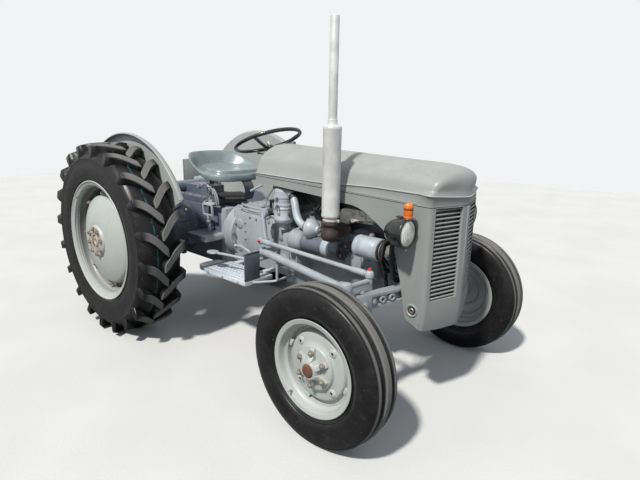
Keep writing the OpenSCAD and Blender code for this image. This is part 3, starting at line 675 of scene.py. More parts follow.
def make_finishes(colours):
    """Makes each finish, with the CAD node whose slot it shares unless a piece names another."""
    hood, casting, wheel, enamel = (tuple(colours[k]) for k in ("hood", "casting", "wheel", "seat"))

    def keep(key, slot, material):
        FINISHES[key], SLOTS[key] = material, slot
    keep("hood_grey", "hood", sheet_paint("faded_grey_paint", hood))
    # A lighter copy of the hood paint: painted highlight on the fender crowns and their rolled edge
    keep("crown_highlight_grey", "fenders", sheet_paint("fender_edge_highlight_paint", tint(hood, 1.12), 0.2, 0.34))
    # A lighter copy of the hood paint: painted light on the fender walls, braces, carrier and rivets
    keep("fender_lit_grey", "fenders", sheet_paint("fender_grey_painted_light", tint(hood, 1.32), 0.35))
    # Half again lighter than the hood: painted highlight on the crease bead
    keep("bead_highlight_grey", "hood", sheet_paint("bead_highlight_paint", tint(hood, 1.5), 0.1, 0.3))
    keep("cast_blue", "gearbox_case", casting_paint("casting_paint", casting))
    keep("axle_blue", "front_axle", casting_paint("axle_paint", tint(casting, 1.05), 0.3))
    keep("dark_cast", "rear_axle_case", casting_paint("shaded_casting_paint", tint(casting, 0.45), 0.65))
    # A dark copy of the casting paint: painted shade over the rear case, with the casting's own colour ahead of x 430
    keep("shaded_rear_cast", "rear_axle_case", casting_paint("casting_painted_shade", (0.085, 0.105, 0.145), 0.3, ahead=casting))
    keep("case_paint", "gearbox_case", casting_paint("gearbox_paint", tint(casting, 1.12), 0.16))
    # The rim paint carries painted shade in the rim's well
    keep("shaded_well_grey", "wheel_rr", sheet_paint("rim_well_painted_shade", wheel, 0.35, 0.4, True))
    keep("starter_paint", "starter", casting_paint("slate_paint", (0.085, 0.105, 0.13), 0.45, 0.38))
    # A much lighter copy of the casting paint: painted light on the sunlit step tops
    keep("step_painted_light", "footrests", casting_paint("step_painted_light", tint(casting, 1.85), 0.05))
    keep("cast_nuts", "engine", casting_paint("painted_bolts", tint(casting, 1.05), 0.4))
    keep("dirty_silver", "engine",
         bare_metal("stained_aluminium", (0.62, 0.61, 0.58), (0.12, 0.09, 0.06), 0.45, 0.42, 0.5))
    # Stained iron, lightened: real stains and painted light on the manifold branch in the hood's shade
    keep("stained_and_lit", "engine", bare_metal("stained_iron_painted_light", (0.74, 0.71, 0.65), (0.2, 0.15, 0.1), 0.3, 0.5, 0.1))
    keep("scorched", "manifold",
         bare_metal("scorched_iron", (0.035, 0.028, 0.026), (0.09, 0.035, 0.02), 0.35, 0.5, 0.3))
    keep("copper", "engine", bare_metal("copper_pipe", (0.42, 0.2, 0.1), (0.08, 0.06, 0.04), 0.4, 0.4, 0.8))
    keep("gauge_face", "dash", plain("gauge_cream", (0.62, 0.60, 0.52), 0.35, coat=0.5))
    keep("rod_grey", "radius_rods", casting_paint("rod_paint", tint(casting, 1.15), 0.2, 0.38))
    keep("wheel_grey", "wheel_rr", sheet_paint("wheel_paint", wheel, 0.35, 0.4))
    keep("tank_paint", "air_cleaner", plain("canister_paint", tint(casting, 1.3), 0.38, coat=0.2))
    keep("rear_rubber", "tyre_rr", rubber("rear_tyre_rubber", 0, REAR_Z, 0.612, REAR_TRACK + 40))
    keep("front_rubber", "tyre_fr", rubber("front_tyre_rubber", WHEELBASE, FRONT_Z, 0.364))
    keep("black_paint", "headlamps", plain("black_enamel", (0.013, 0.013, 0.014), 0.3, coat=0.3, dust=0.25))
    keep("black_matt", "starter", plain("black_dusty_paint", (0.02, 0.02, 0.022), 0.6, dust=0.3))
    keep("navy_paint", "seat_spring", plain("spring_paint", (0.022, 0.027, 0.042), 0.4, coat=0.1, dust=0.3))
    keep("bakelite", "steering_wheel", plain("wheel_rim_black", (0.010, 0.010, 0.011), 0.22, coat=0.4))
    keep("enamel", "seat", plain("seat_enamel", tint(enamel, 1.25), 0.3, coat=0.35, depth=0.0006, grain=60,
                                 spread=0.1, dust=0.12))
    keep("silver", "exhaust_stack", plain("aluminium_paint", (0.57, 0.57, 0.56), 0.42, metal=0.25, grain=500))
    keep("rusty", "manifold", bare_metal("rusted_iron", (0.16, 0.13, 0.11), (0.16, 0.065, 0.03), 0.9))
    keep("burnt", "manifold", bare_metal("burnt_iron", (0.30, 0.27, 0.25), (0.07, 0.035, 0.025), 0.6, 0.5, 0.6))
    keep("nuts", "wheel_rr", bare_metal("worn_nuts", (0.44, 0.41, 0.37), (0.12, 0.075, 0.05), 0.4))
    keep("rust_nuts", "wheel_rr", bare_metal("rusted_bolts", (0.26, 0.20, 0.15), (0.12, 0.06, 0.035), 0.7, 0.5))
    keep("black_gloss", "headlamps", plain("glossy_black", (0.008, 0.008, 0.009), 0.22, coat=0.4, dust=0.04))
    keep("mirror", "lamp_lenses", plain("lamp_reflector", (0.75, 0.75, 0.73), 0.18, metal=0.95, grain=90))
    keep("dark_amber", "indicators", plain("indicator_base", (0.10, 0.03, 0.008), 0.35, coat=0.2))
    keep("gold", "engine", plain("brass_fittings", (0.45, 0.32, 0.10), 0.35, metal=0.8))
    keep("board", "seat_spring", plain("rusty_board", (0.045, 0.038, 0.033), 0.6, grain=60, spread=0.3, dust=0.3))
    keep("worn_plate", "wheel_rr",
         bare_metal("worn_hub_plate", (0.42, 0.37, 0.31), (0.17, 0.10, 0.06), 0.35, 0.45, 0.35))
    keep("steel", "pto_shaft", bare_metal("bare_steel", (0.52, 0.51, 0.49), (0.15, 0.08, 0.045), 0.2, 0.32, 0.9))
    keep("amber", "indicators", plain("amber_plastic", (0.75, 0.16, 0.012), 0.25, coat=0.3))
    keep("red", "drag_link_r", plain("red_cap", (0.55, 0.02, 0.02), 0.4))
    keep("glass", "lamp_lenses", lens_glass("lamp_glass"))
    keep("core", "radiator", plain("radiator_black", (0.008, 0.008, 0.008), 0.7))
    keep("hose", "radiator", plain("black_hose", (0.018, 0.018, 0.019), 0.55))


# Tyres and wheels

def band(half):
    """A closed wheel section from one half of it."""
    full = half + [(r, -t) for r, t in half[::-1]]
    return full + full[:1]


def ring_at(x, side, track, z, count, finish):
    """The tree that copies a part around a wheel."""
    centre = metres((x, side * track, z))
    return [(TREES["ring"], {"Count": count, "Centre": tuple(centre), "Material": finish})]


TREAD_RADIUS = 596


def lug(track_y, sign, turn, height):
    """One long curved lug, from near the tread's centre over the shoulder to the flank."""
    crown = 580.0
    top = crown + height
    # Offset and radius at the foot and at the top, place along the tread, half widths at the top and at the foot
    table = ((-20, crown - 12, -16, top - 6, -82, 12, 18), (-17, crown - 12, -14, top - 1, -79, 22, 27),
             (-6, crown - 12, -6, top, -70, 27, 31), (14, crown - 12, 14, top, -50, 29, 33),
             (32, crown - 12, 32, top, -28, 29.5, 33.5), (52, crown - 12, 52, top - 0.5, -6, 29, 33),
             (72, crown - 14, 72, top - 1.5, 12, 27.5, 32), (92, crown - 18, 92, top - 3.5, 26, 26, 31),
             (112, crown - 26, 113, top - 7, 36, 25, 30), (124, crown - 34, 131.5, top - 11, 42, 24, 29),
             (125, crown - 42, 135.5, top - 22, 45, 23, 28), (126, crown - 54, 136.5, top - 50, 48, 20, 26),
             (128, crown - 66, 137, top - 74, 51, 12, 19), (129, crown - 76, 135.5, top - 94, 53, 3, 8))
    rows = []
    for tb, rb, tt, rt, c, ht, hb in table:
        row = []
        for t, r, w in ((tb, rb, -hb), (tt, rt, -ht), (tt, rt, ht), (tb, rb, hb)):
            a = (c + w) / TREAD_RADIUS + math.radians(turn)
            u, v = polar(r, a, 0, REAR_Z)
            row.append((u, track_y + sign * t, v))
        rows.append(row)
    return loft(rows)


def rear_tyres(sizes):
    """Rear tyres with long curved lugs"""
    half = [(356.3, 110), (366, 116.5), (383, 119), (391, 124), (397, 128), (402, 127), (410, 129), (440, 133),
            (478, 134), (512, 134), (519, 135.5), (524, 135.5), (528, 132.5), (538, 128), (548, 120), (558, 108),
            (565, 92), (570, 72), (573, 40), (574, 12)]
    count, height = sizes.rear_lug_count, sizes.rear_lug_height
    for name, side in SIDES:
        body = "wheel_r" + name
        y = side * REAR_TRACK
        piece("rear_tyre_" + name, lathe(band(half), (0, y, REAR_Z), "y", 120), "rear_rubber", body,
              ("tyre_r" + name,), angle=50)
        pair = lug(y, 1, 0, height) + lug(y, -1, 180 / count, height)
        piece("rear_lugs_" + name, pair, "rear_rubber", body, slot="tyre_r" + name, bevel=2, steps=1, angle=40,
              trees=ring_at(0, side, REAR_TRACK, REAR_Z, count, "rear_rubber"))


def front_tyres(sizes):
    """Ribbed front tyres"""
    half = [(203.3, 52), (214, 54), (224, 56), (230, 61), (236, 66), (241, 66), (246, 72), (262, 78.5), (282, 80),
            (302, 79.5), (322, 76), (338, 70), (345, 66), (347, 62.5), (355, 61), (357.5, 59), (358.5, 56),
            (358.5, 47), (357, 45), (347, 42), (345.5, 40), (345.5, 22), (347, 20), (361, 16), (363.5, 14), (364, 10)]
    for name, side in SIDES:
        piece("front_tyre_" + name, lathe(band(half), (WHEELBASE, side * FRONT_TRACK, FRONT_Z), "y", 112),
              "front_rubber", "wheel_f" + name, ("tyre_f" + name,), angle=38)


def rear_wheels(sizes):
    """Rear rims, discs, lugs and nuts"""
    flange = [(356, 111), (362, 117), (375, 119), (380.5, 121.5), (382, 124.5), (380, 127.5), (375.5, 128),
              (372, 124.5), (367, 120.5), (357, 119), (352.5, 115.5), (351.5, 104), (346, 101), (345, 92), (339, 89),
              (338, 72), (333, 62), (326, 56), (324, 44)]
    outside = flange + [(r, -t) for r, t in flange[::-1]]
    inside = [(359, -92), (355, -60), (350, -56), (334, -49), (332, -44),
              (332, 44), (334, 49), (350, 56), (355, 60), (359, 92)]
    rim = outside + inside + outside[:1]
    face = [(40, 131), (58, 131), (60, 135), (63, 137), (91, 137), (95, 135), (98, 129), (101, 124), (106, 122.5),
            (110, 123.5), (118, 123), (140, 120), (170, 114), (200, 106), (228, 96.5), (250, 87), (266, 79),
            (276, 72.5), (281, 66), (283, 58), (283, 46), (279, 46), (278, 56), (274, 64), (262, 71), (240, 81),
            (210, 94), (170, 107), (130, 113), (104, 116), (40, 118)]
    lug_side = [(325, -26), (325, 30), (312, 38), (306, 46), (284, 50), (276, 54), (272, 50), (276, 42), (292, 34),
                (300, 20), (302, -26)]
    for name, side in SIDES:
        body, y = "wheel_r" + name, -REAR_TRACK
        centre = (0, y, REAR_Z)

        def out(profile):
            return lathe([(r, -t) for r, t in profile], centre, "y", 96).on(side)
        shaft = [(0, 134), (12, 134), (16, 138), (28, 139), (33, 137), (36, 131), (40.4, 130), (40.4, 20), (0, 20)]
        drum = [(0, -58), (168, -58), (176, -64), (178, -72), (178, -134), (0, -134)]
        piece("rear_rim_" + name, out(rim), "shaded_well_grey", body, (body,), angle=35)
        piece("rear_disc_" + name, out(face + face[:1]), "wheel_grey", body, slot=body, angle=38)
        piece("rear_hub_end_" + name, out(shaft), "worn_plate", body, slot=body)
        piece("brake_drum_" + name, out(drum) + out([(0, 20), (41, 20), (41, -60), (0, -60)]), "dark_cast", body,
              slot=body)
        bracket = prism(lug_side, -31, 31, "z").mapped(lambda p: Vector((p.x, y - p.y, p.z + REAR_Z))).on(side)
        piece("rim_lugs_" + name, bracket, "wheel_grey", body, slot=body, bevel=4,
              trees=ring_at(0, side, REAR_TRACK, REAR_Z, 8, "wheel_grey"))
        bolts("rim_lug_bolts_" + name, around(0, REAR_Z, 299, side * (REAR_TRACK + 46), side, 8), "nuts", 13, 22, body)
        bolts("rim_nuts_" + name, around(0, REAR_Z, 313, side * (REAR_TRACK + 36), side, 8, 6.5), "rust_nuts", 8, 8,
              body)
        bolts("rear_wheel_nuts_" + name, around(0, REAR_Z, 79, side * (REAR_TRACK + 137), side, 8, 10),
              "nuts", 12, 13, body)
        plate = [(42, 137.5), (66, 138.5), (90, 138.5), (91, 136), (42, 136), (42, 137.5)]
        piece("rear_hub_plate_" + name, out(plate), "worn_plate", body, slot=body)
        stem = rod((-236, y - 122, REAR_Z + 255), (-228, y - 150, REAR_Z + 243), 5)
        piece("rear_valve_" + name, stem.on(side), "steel", body, slot=body, bevel=1)


def front_wheels(sizes):
    """Front rims, discs and hubs"""
    rim = [(203, 53), (207, 57), (216, 58.5), (220.5, 60), (222, 62.5), (219.5, 64.5), (208, 62.5), (200, 60),
           (197, 55), (196, 35), (191, 27), (181, 21), (179, 14), (179, -20), (190, -28), (196, -34), (197, -55),
           (200, -60), (208, -62.5), (219.5, -64.5), (222, -62.5), (216, -58), (203, -53), (201, -32), (187, -18),
           (187, 18), (201, 31)]
    face = [(30, 45), (94, 45), (99, 43), (102, 38), (105, 30), (112, 26.5), (124, 25), (146, 23.5), (153, 21),
            (157, 15), (160, 6), (166, -1), (182, -3), (182, -10), (164, -9), (156, -2), (152, 10), (148, 15),
            (124, 17), (108, 20), (98, 26), (92, 37), (30, 37)]
    spoke = [(36, 40), (36, 80), (44, 77), (52, 67), (60, 60), (86, 58), (92, 54), (95, 45), (95, 40)]
    for name, side in SIDES:
        body, y = "wheel_f" + name, -FRONT_TRACK
        centre = (WHEELBASE, y, FRONT_Z)

        def out(profile):
            return lathe([(r, -t) for r, t in profile], centre, "y", 80).on(side)
        piece("front_rim_" + name, out(rim + rim[:1]), "wheel_grey", body, (body,), angle=35)
        piece("front_disc_" + name, out(face + face[:1]), "wheel_grey", body, slot=body, angle=38)
        arm = prism(spoke, -13, 13, "z").mapped(lambda p: Vector((p.x + WHEELBASE, y - p.y, p.z + FRONT_Z)))
        arm = arm.turned(30, "Y", centre)
        piece("front_hub_arms_" + name, arm.on(side), "wheel_grey", body, slot=body, bevel=4,
              trees=ring_at(WHEELBASE, side, FRONT_TRACK, FRONT_Z, 6, "wheel_grey"))
        hub = [(0, -68), (40, -68), (44, -64), (44, 66), (42, 74), (37, 80), (0, 80)]
        piece("front_hub_" + name, out(hub), "wheel_grey", body, slot=body, angle=40)
        cap = [(0, 90), (10, 90), (20, 88.5), (26, 86), (30, 81), (31, 78), (34, 77), (34, 60), (0, 60)]
        piece("front_hub_cap_" + name, out(cap), "rusty", body, slot=body, angle=40)
        boss = lathe([(7, -30), (12, -29.5), (19, -26), (21, -23), (18, -20), (7, -20), (7, -30)],
                     (WHEELBASE + 129, y, FRONT_Z), "y", 24)
        boss = boss.turned(45, "Y", centre)
        piece("front_disc_bosses_" + name, boss.on(side), "wheel_grey", body, slot=body,
              trees=ring_at(WHEELBASE, side, FRONT_TRACK, FRONT_Z, 4, "wheel_grey"))
        # Painted shade: black discs stand for the holes in the bosses
        dark = lathe([(0, -28), (7.2, -28), (7.2, -21), (0, -21)], (WHEELBASE + 129, y, FRONT_Z), "y", 16)
        piece("front_disc_holes_" + name, dark.turned(45, "Y", centre).on(side), "core", body, slot=body,
              trees=ring_at(WHEELBASE, side, FRONT_TRACK, FRONT_Z, 4, "core"))
        bolts("front_wheel_nuts_" + name, around(WHEELBASE, FRONT_Z, 74, side * (FRONT_TRACK + 58), side, 6, 30),
              "nuts", 10.5, 12, body)
        tab = block((WHEELBASE + 160, y - 22, FRONT_Z - 16),
                    (WHEELBASE + 178, y - 8, FRONT_Z + 16)).turned(20, "Y", centre)
        piece("front_rim_tabs_" + name, tab.on(side), "wheel_grey", body, slot=body, bevel=4,
              trees=ring_at(WHEELBASE, side, FRONT_TRACK, FRONT_Z, 4, "wheel_grey"))
        stem = rod((WHEELBASE - 120, y - 56, FRONT_Z - 150), (WHEELBASE - 112, y - 84, FRONT_Z - 140), 4.5)
        piece("front_valve_" + name, stem.on(side), "steel", body, slot=body, bevel=1)


# Bonnet

SEAM_REAR = 1066.0
PITCH = math.tan(math.radians(1.9))
REAR_EDGE = 873.0
# The hood's side leans in by this share of the height, ends at SIDE_END and is bent round at CORNER
LEAN, SIDE_END, CORNER = 0.38, 1990, 1996
GRILLE_LOW, GRILLE_TOP, GRILLE_IN, GRILLE_OUT = 588, 1022, 36, 196
CHIN = [(860, 1031), (1376, 1002), (1498, 989), (1591, 985), (1640, 972), (1671, 956), (1720, 927), (1768, 895),
        (1810, 857), (1840, 806), (1862, 740), (1880, 670), (1893, 620), (1893, 559), (1896, 513), (1912, 491),
        (1935, 479), (1996, 449), (2040, 434), (2100, 431)]
FOREHEAD = [(1873, 1207), (1900, 1206), (1950, 1203.5), (1996, 1199), (2020, 1193), (2040, 1185), (2058, 1173),
            (2070, 1158), (2077, 1142), (2080.5, 1120), (2082, 1070), (2082, 1030)]


def along(table, x):
    """Reads a value from a table of (x, value) pairs."""
    if x <= table[0][0]:
        return table[0][1]
    for (x0, v0), (x1, v1) in zip(table, table[1:]):
        if x <= x1:
            return v0 + (v1 - v0) * (x - x0) / (x1 - x0)
    return table[-1][1]


def seam_z(x):
    return SEAM_REAR - (x - REAR_EDGE) * PITCH


def hood_half_width(h):
    """Half width of the hood at a height above the seam."""
    z = SEAM_REAR + h
    if z < 1157:
        return (593.4 - 0.3588 * z) / 0.9334 + 3
    if z < 1183.8:
        return 135 + math.sqrt(max(0, 3600 - (z - 1135.5) ** 2)) + 3 * (1183.8 - z) / 27
    return math.sqrt(max(0, 287 ** 2 - (z - 953) ** 2))


def hood_front(h):
    """How far forward the hood reaches at a height above the seam."""
    for (x0, z0), (x1, z1) in zip(FOREHEAD, FOREHEAD[1:]):
        d0, d1 = z0 - seam_z(x0) - h, z1 - seam_z(x1) - h
        if d0 >= 0 >= d1 and d0 != d1:
            return x0 + (x1 - x0) * d0 / (d0 - d1)
    return FOREHEAD[-1 if h < 20 else 0][0]


def contour(w, front, round_share, side_steps=22):
    """Half of a level line of the hood: back along the side, round the corner and across the front."""
    corner = 89 * (1 - round_share) + min(70, w + 25) * round_share
    start = front - corner
    pts = []
    for i in range(side_steps):
        u = i / side_steps
        x = REAR_EDGE + (start - REAR_EDGE) * u
        pts.append((x, w * (1 + 0.034 * (1 - u) * (1 - round_share)), 0))
    sharp = [(start + 28 * math.sin(math.radians(a)), w - 28 * (1 - math.cos(math.radians(a))))
             for a in (0, 12, 26, 40, 54, 66, 74)]
    x6, y6 = sharp[-1]
    sharp += [(x6 + (front - x6) * (1 - (1 - u) ** 1.25), y6 * (1 - u)) for u in (0.1, 0.28, 0.46, 0.64, 0.82, 1)]
    n = len(sharp)
    for i, (x, y) in enumerate(sharp):
        a = math.radians(90 * i / (n - 1))
        ex, ey = start + corner * math.sin(a), w * math.cos(a)
        pts.append((x + (ex - x) * round_share, y + (ey - y) * round_share, 1))
    return pts


def crease_height(x):
    return along([(873, 13), (1364, 22), (1568, 37), (1700, 45), (2008, 50), (2082, 36)], x)


def hood_shape():
    """Half of the hood: four rows over the crease of its lower edge, and level lines up to its middle."""
    rows = []
    for k, step in enumerate((-3.0, -3.0, 1.2, 0.0)):
        row = []
        w = hood_half_width(4)
        for x, y, front in contour(w, hood_front(4), 0):
            drop = crease_height(x)
            level = (0, drop - 5, drop, drop + 4)[k]
            if y > 1e-6:
                y = y - LEAN * max(0, level - 4) + step if x < SIDE_END else y + step * (y / w)
                x += step if front and x > CORNER else 0
            else:
                x += step
            row.append((x, -max(y, 0), seam_z(x) + level))
        rows.append(row)
    heights = (62, 74, 86, 96, 105, 113, 121, 129, 136, 142, 148, 153, 158, 162, 165.5, 168.5, 171, 172.8, 173.8)
    for h in heights:
        share = max(0.0, min(1, (h - 62) / 80)) ** 1.2
        rows.append([(x, -max(y, 0) if h < heights[-1] else 0.0, seam_z(x) + max(crease_height(x) + 4, h))
                     for x, y, front in contour(hood_half_width(h), hood_front(h), share)])
    return grid(rows)


def bonnet_parts(sizes):
    """Hood, nose and grille"""
    half = hood_shape()
    piece("hood_skin", half.both(), "hood_grey", "bonnet", ("hood",), wall=2.5, angle=60)
    # The bead along the hood's crease carries a painted highlight
    bead = []
    for x, y, front in contour(hood_half_width(4), hood_front(4), 0):
        drop = crease_height(x)
        y = y - LEAN * max(0, drop - 4) + 1.2 if x < SIDE_END else y + 1.2
        bead.append((x + (1.2 if front and x > CORNER else 0), -(y if y > 5 else 0), seam_z(x) + drop + 1))
    piece("hood_bead", tube(bead, 3, 8).both(), "bead_highlight_grey", "bonnet", slot="hood", angle=60)
    nose_skin()
    grille_slats(sizes)


def nose_skin():
    """The nose's cheeks and front, with the grille opening, flanges, centre bar and hinge bosses."""
    w = hood_half_width(4)
    front = hood_front(4)
    plan = contour(w, front, 0, 30)
    cheek = [(x, y) for x, y, f in plan if y > GRILLE_OUT + 1 or x < SIDE_END]
    x6, y6 = cheek[-1]
    across = [(x6 + (front - x6) * (1 - (y / y6) ** 1.25), y) for y in (196, 180, 140, 100, 60, 36, 14, 0) if y < y6]
    full = cheek + across
    columns = []
    for x, y in full:
        top, low = seam_z(x) - 3.4, along(CHIN, x)
        levels = [top, top - 3, GRILLE_TOP, 1010, 900, 780, 680, 600, GRILLE_LOW, 560, 520, 480]
        column = []
        for z in [max(min(z, top), low + 3) for z in levels] + [low + 3, low]:
            inset = 0.0
            if z < 545:
                inset = 14 * ((545 - z) / 115) ** 2 if x > CORNER else 5 * ((545 - max(z, 431)) / 115) ** 2
            column.append((x - (inset if x > CORNER else 0), -max(0, y - (inset * 0.35 if y > 20 else 0)), z))
        columns.append(column)
    rows = len(columns[0])
    shape = Shape([p for c in columns for p in c])
    for i, (left, right) in enumerate(zip(columns, columns[1:])):
        for j in range(rows - 1):
            ya, yb = abs(left[j][1]), abs(right[j][1])
            inside = min(ya, yb) >= GRILLE_IN - 0.1 and max(ya, yb) <= GRILLE_OUT + 0.1 and left[j][0] > 2000
            opening = inside and left[j][2] <= GRILLE_TOP + 0.1 and left[j + 1][2] >= GRILLE_LOW - 0.1
            if not opening:
                shape.faces.append((i * rows + j, i * rows + j + 1, (i + 1) * rows + j + 1, (i + 1) * rows + j))
    # Inward flanges round the grille opening and along the lower edge
    flange = []
    edge = [p for p in full if GRILLE_IN - 0.1 <= p[1] <= GRILLE_OUT + 0.1 and p[0] > 2000]
    for z in (GRILLE_TOP, GRILLE_LOW):
        flange.append(grid([[(x, -y, z), (x - 14, -y, z)] for x, y in edge]))
    for x, y in (edge[0], edge[-1]):
        flange.append(grid([[(x, -y, z), (x - 14, -y, z)] for z in (GRILLE_LOW, 700, 820, 940, GRILLE_TOP)]))
    lip = []
    for c in columns:
        x, y, z = c[-1]
        k = 12 if x > 1880 else 8
        nx = 1 if x > 2000 else (0.75 if 1660 < x < 1900 else 0)
        lip.append([(x, y, z), (x - k * nx, min(0, y + k * (1 - 0.6 * (x > 2000))), z + (0 if nx else 2))])
    flange.append(grid(lip))
    skin = joined([shape] + flange).both()
    piece("nose_skin", skin, "hood_grey", "bonnet", ("nose",), wall=2.2, angle=42)
    # Raised V bar between the panels and the dished hinge bosses
    bar = loft([[(front - 4, -15, z), (front + 2.5, 0, z), (front - 4, 15, z), (front - 12, 15, z),
                 (front - 12, -15, z)] for z in (590, 1020)])
    piece("nose_centre_bar", bar, "hood_grey", "bonnet", slot="nose", bevel=2)
    hinge = (1954, 0, 535)
    dish = [(r, -(w + t)) for r, t in ((10, -5), (16, -3), (20, 1), (24, 4.5), (28, 5), (32, 3), (34, -2), (33, -8),
                                       (10, -8), (10, -5))]
    piece("hinge_dishes", lathe(dish, hinge, "y", 36).both(), "hood_grey", "bonnet", slot="nose")
    # Painted shade: a black ring stands for the shade in the hinge dish's recess
    dark = [(0, -(w - 1)), (21, -(w - 1)), (21, -(w + 1.2)), (0, -(w + 1.2))]
    piece("hinge_recesses", lathe(dark, hinge, "y", 28).both(), "black_matt", "bonnet", slot="nose")
    pin = [(6, -(w + 1)), (12, -(w + 1)), (13, -(w + 3)), (11, -(w + 4.5)), (7, -(w + 4)), (6, -(w + 1))]
    piece("hinge_pins", lathe(pin, hinge, "y", 24).both(), "nuts", "bonnet", slot="nose")
    piece("grille_frame", block((front - 30, -14, 600), (front - 18, 14, 1010)), "hood_grey", "bonnet", slot="nose",
          bevel=1)
    # Painted shade: a black strip fills the seam gap for the shade in it
    strip = [[(x - (4 if f and x > CORNER else 0), -max(0, y - (4 if y > 20 else 0)), seam_z(x) + t)
              for t in (-14, 5)] for x, y, f in plan]
    piece("seam_strip", grid(strip).both(), "black_matt", "bonnet", slot="nose", wall=1)


def grille_slats(sizes):
    """One slat a side, copied upwards, with the backing and a rib behind them."""
    front = hood_front(4)
    count = sizes.slat_count
    pitch = (GRILLE_TOP - GRILLE_LOW) / count
    middle = GRILLE_LOW + pitch * 0.5
    k = 56 / GRILLE_OUT

    def slat(y0, y1):
        rows = []
        for y in (y0, y0 + 2, (y0 + y1) / 2, y1 - 2, y1):
            x = front - 6 - k * abs(y) * 0.98
            rows.append([(x - 9, -y, middle - 1), (x - 2, -y, middle - 4.2), (x, -y, middle - 3.4),
                         (x, -y, middle + 2), (x - 2.5, -y, middle + 3.6), (x - 9, -y, middle + 3)])
        return loft(rows)
    both = slat(36.3, 195.5) + slat(-195.5, -36.3)
    piece("grille_slats", both, "hood_grey", "bonnet", ("grille",), bevel=0.8, steps=1, angle=40,
          trees=[(TREES["row"], {"Count": count, "Step": (0, 0, pitch / 1000), "Material": "hood_grey"})])
    # Painted shade: the backing and the ribs behind the slats are black for the shade between them
    backing = loft([[(front - 24 - k * y, -y, z) for y in (197, 120, 37)] +
                    [(front - 27 - k * y, -y, z) for y in (37, 120, 197)] for z in (GRILLE_LOW + 1, GRILLE_TOP - 1)])
    piece("grille_backing", backing.both(), "black_matt", "bonnet", slot="grille")
    x = front - 18 - k * 116
    rib = block((x - 8, -122, GRILLE_LOW + 0.5), (x, -110, GRILLE_TOP - 0.5))
    piece("grille_ribs", rib.both(), "black_matt", "bonnet", slot="grille", bevel=1)


# Exhaust, lamps and driver's place

EXHAUST = (1505, -300)


def exhaust(sizes):
    """Upright exhaust with its silencer"""
    x, y = EXHAUST
    muffler = [(0, 900), (33, 900), (35, 902), (35, 918), (37, 921), (43, 924), (45.5, 929), (45.5, 934), (44.6, 938),
               (44.6, 1344), (45.5, 1348), (45.5, 1356), (43, 1361), (33, 1366), (25, 1370), (23.5, 1376),
               (23.5, 1392), (21.8, 1394), (21.5, 1400), (21.5, 1843), (20.8, 1845), (19.2, 1845), (19, 1843),
               (19, 1440), (0, 1440)]
    piece("exhaust_pipe", lathe(muffler, (x, y, 0), "z", 48), "silver", "chassis", ("exhaust_stack",), angle=35)
    clamp = lathe([(35.5, 903), (38.5, 904), (38.5, 915), (35.5, 916), (35.5, 903)], (x, y, 0), "z", 40)
    ear = block((x + 34, y - 5, 903), (x + 56, y + 5, 916))
    fitted("exhaust_clamp", clamp + ear, "silver", "exhaust_stack", bevel=1)
    bolts("exhaust_clamp_bolt", [((x + 46, y - 5, 909.5), (0, -1, 0))], "nuts", 6, 5)


def lamps(sizes):
    """Headlamps and indicators with their arms"""
    x = WHEELBASE + 132
    lamp = (0, -305, 917)
    shell = [(0, x - 67), (15, x - 66), (29, x - 61), (43, x - 49), (54, x - 32), (61, x - 12), (65, x + 8),
             (66.5, x + 24), (66.5, x + 31), (69.5, x + 33), (71.5, x + 37), (71.5, x + 43), (69, x + 47),
             (64, x + 48.5), (59.5, x + 47), (58.5, x + 42), (58.5, x + 30), (0, x + 20)]
    lens = [(58.5, x + 42), (56, x + 46.5), (47, x + 50), (34, x + 52.5), (17, x + 54), (0, x + 54.5), (0, x + 38),
            (58.5, x + 38)]
    glass = lathe(lens, lamp, "x", 48)
    piece("headlamp_shells", lathe(shell, lamp, "x", 56).both(), "black_gloss", "chassis", angle=45)
    piece("headlamp_glasses", glass.both(), "glass", "chassis", ("lamp_lenses",))
    bowl = [(0, x + 8), (20, x + 10), (38, x + 17), (52, x + 30), (57.5, x + 38), (57.5, x + 35), (40, x + 14),
            (0, x + 4)]
    bulb = lathe([(0, x + 8), (7, x + 9), (8, x + 20), (11, x + 27), (8, x + 35), (0, x + 37)], lamp, "x", 20)
    fitted("headlamp_reflectors", (lathe(bowl, lamp, "x", 40) + bulb).both(), "mirror", "lamp_lenses")
    screws = block((x + 34, -308, 984), (x + 46, -302, 990)) + rod((x + 40, -305, 845), (x + 40, -305, 839), 4)
    fitted("headlamp_screws", screws.both(), "steel", "headlamps")
    path = rounded([(x - 60, -150, 655), (x - 60, -205, 655), (x - 64, -232, 680), (x - 68, -246, 760),
                    (x - 60, -262, 830), (x - 40, -285, 868), (x - 26, -300, 880)], 4)
    strap = sweep(path, oblong(15, 4), up=(1, 0, 0))
    foot = block((x - 78, -120, 650), (x - 42, -148, 662))
    stay = prism([(-317, 982), (-293, 982), (-296, 990), (-314, 990)], x - 14, x + 14, "x")
    piece("headlamp_arms", (strap + foot + stay).both(), "black_gloss", "chassis", ("headlamps",), bevel=1.2)
    bolts("lamp_arm_bolts", [((x - 60, s * 148, 662), (0, 0, 1)) for s in (-1, 1)], "nuts", 8, 7)
    xi = WHEELBASE + 174
    rows = []
    table = ((0, 985), (19, 985), (21.5, 988), (21.5, 994), (19.5, 996), (21, 999), (21, 1022), (19.2, 1024),
             (19.2, 1028), (20.6, 1030), (19.5, 1042), (16, 1049), (9, 1053), (0, 1054))
    for i in range(60):
        a = 2 * math.pi * i / 60
        flute = 1 - 0.035 * (0.5 + 0.5 * math.cos(a * 10))
        rows.append([(*polar(r * flute, a, xi, -305), z) for r, z in table])
    piece("indicator_bodies", grid(rows, True).both(), "amber", "chassis", ("indicators",), angle=40)
    ring = lathe([(19, 1022.5), (21.6, 1023), (21.6, 1028), (19, 1029)], (xi, -305, 0), "z", 40)
    base = lathe([(0, 981), (23, 981), (24, 983), (22.5, 986), (0, 986)], (xi, -305, 0), "z", 40)
    fitted("indicator_bases", (base + ring).both(), "dark_amber", "indicators")


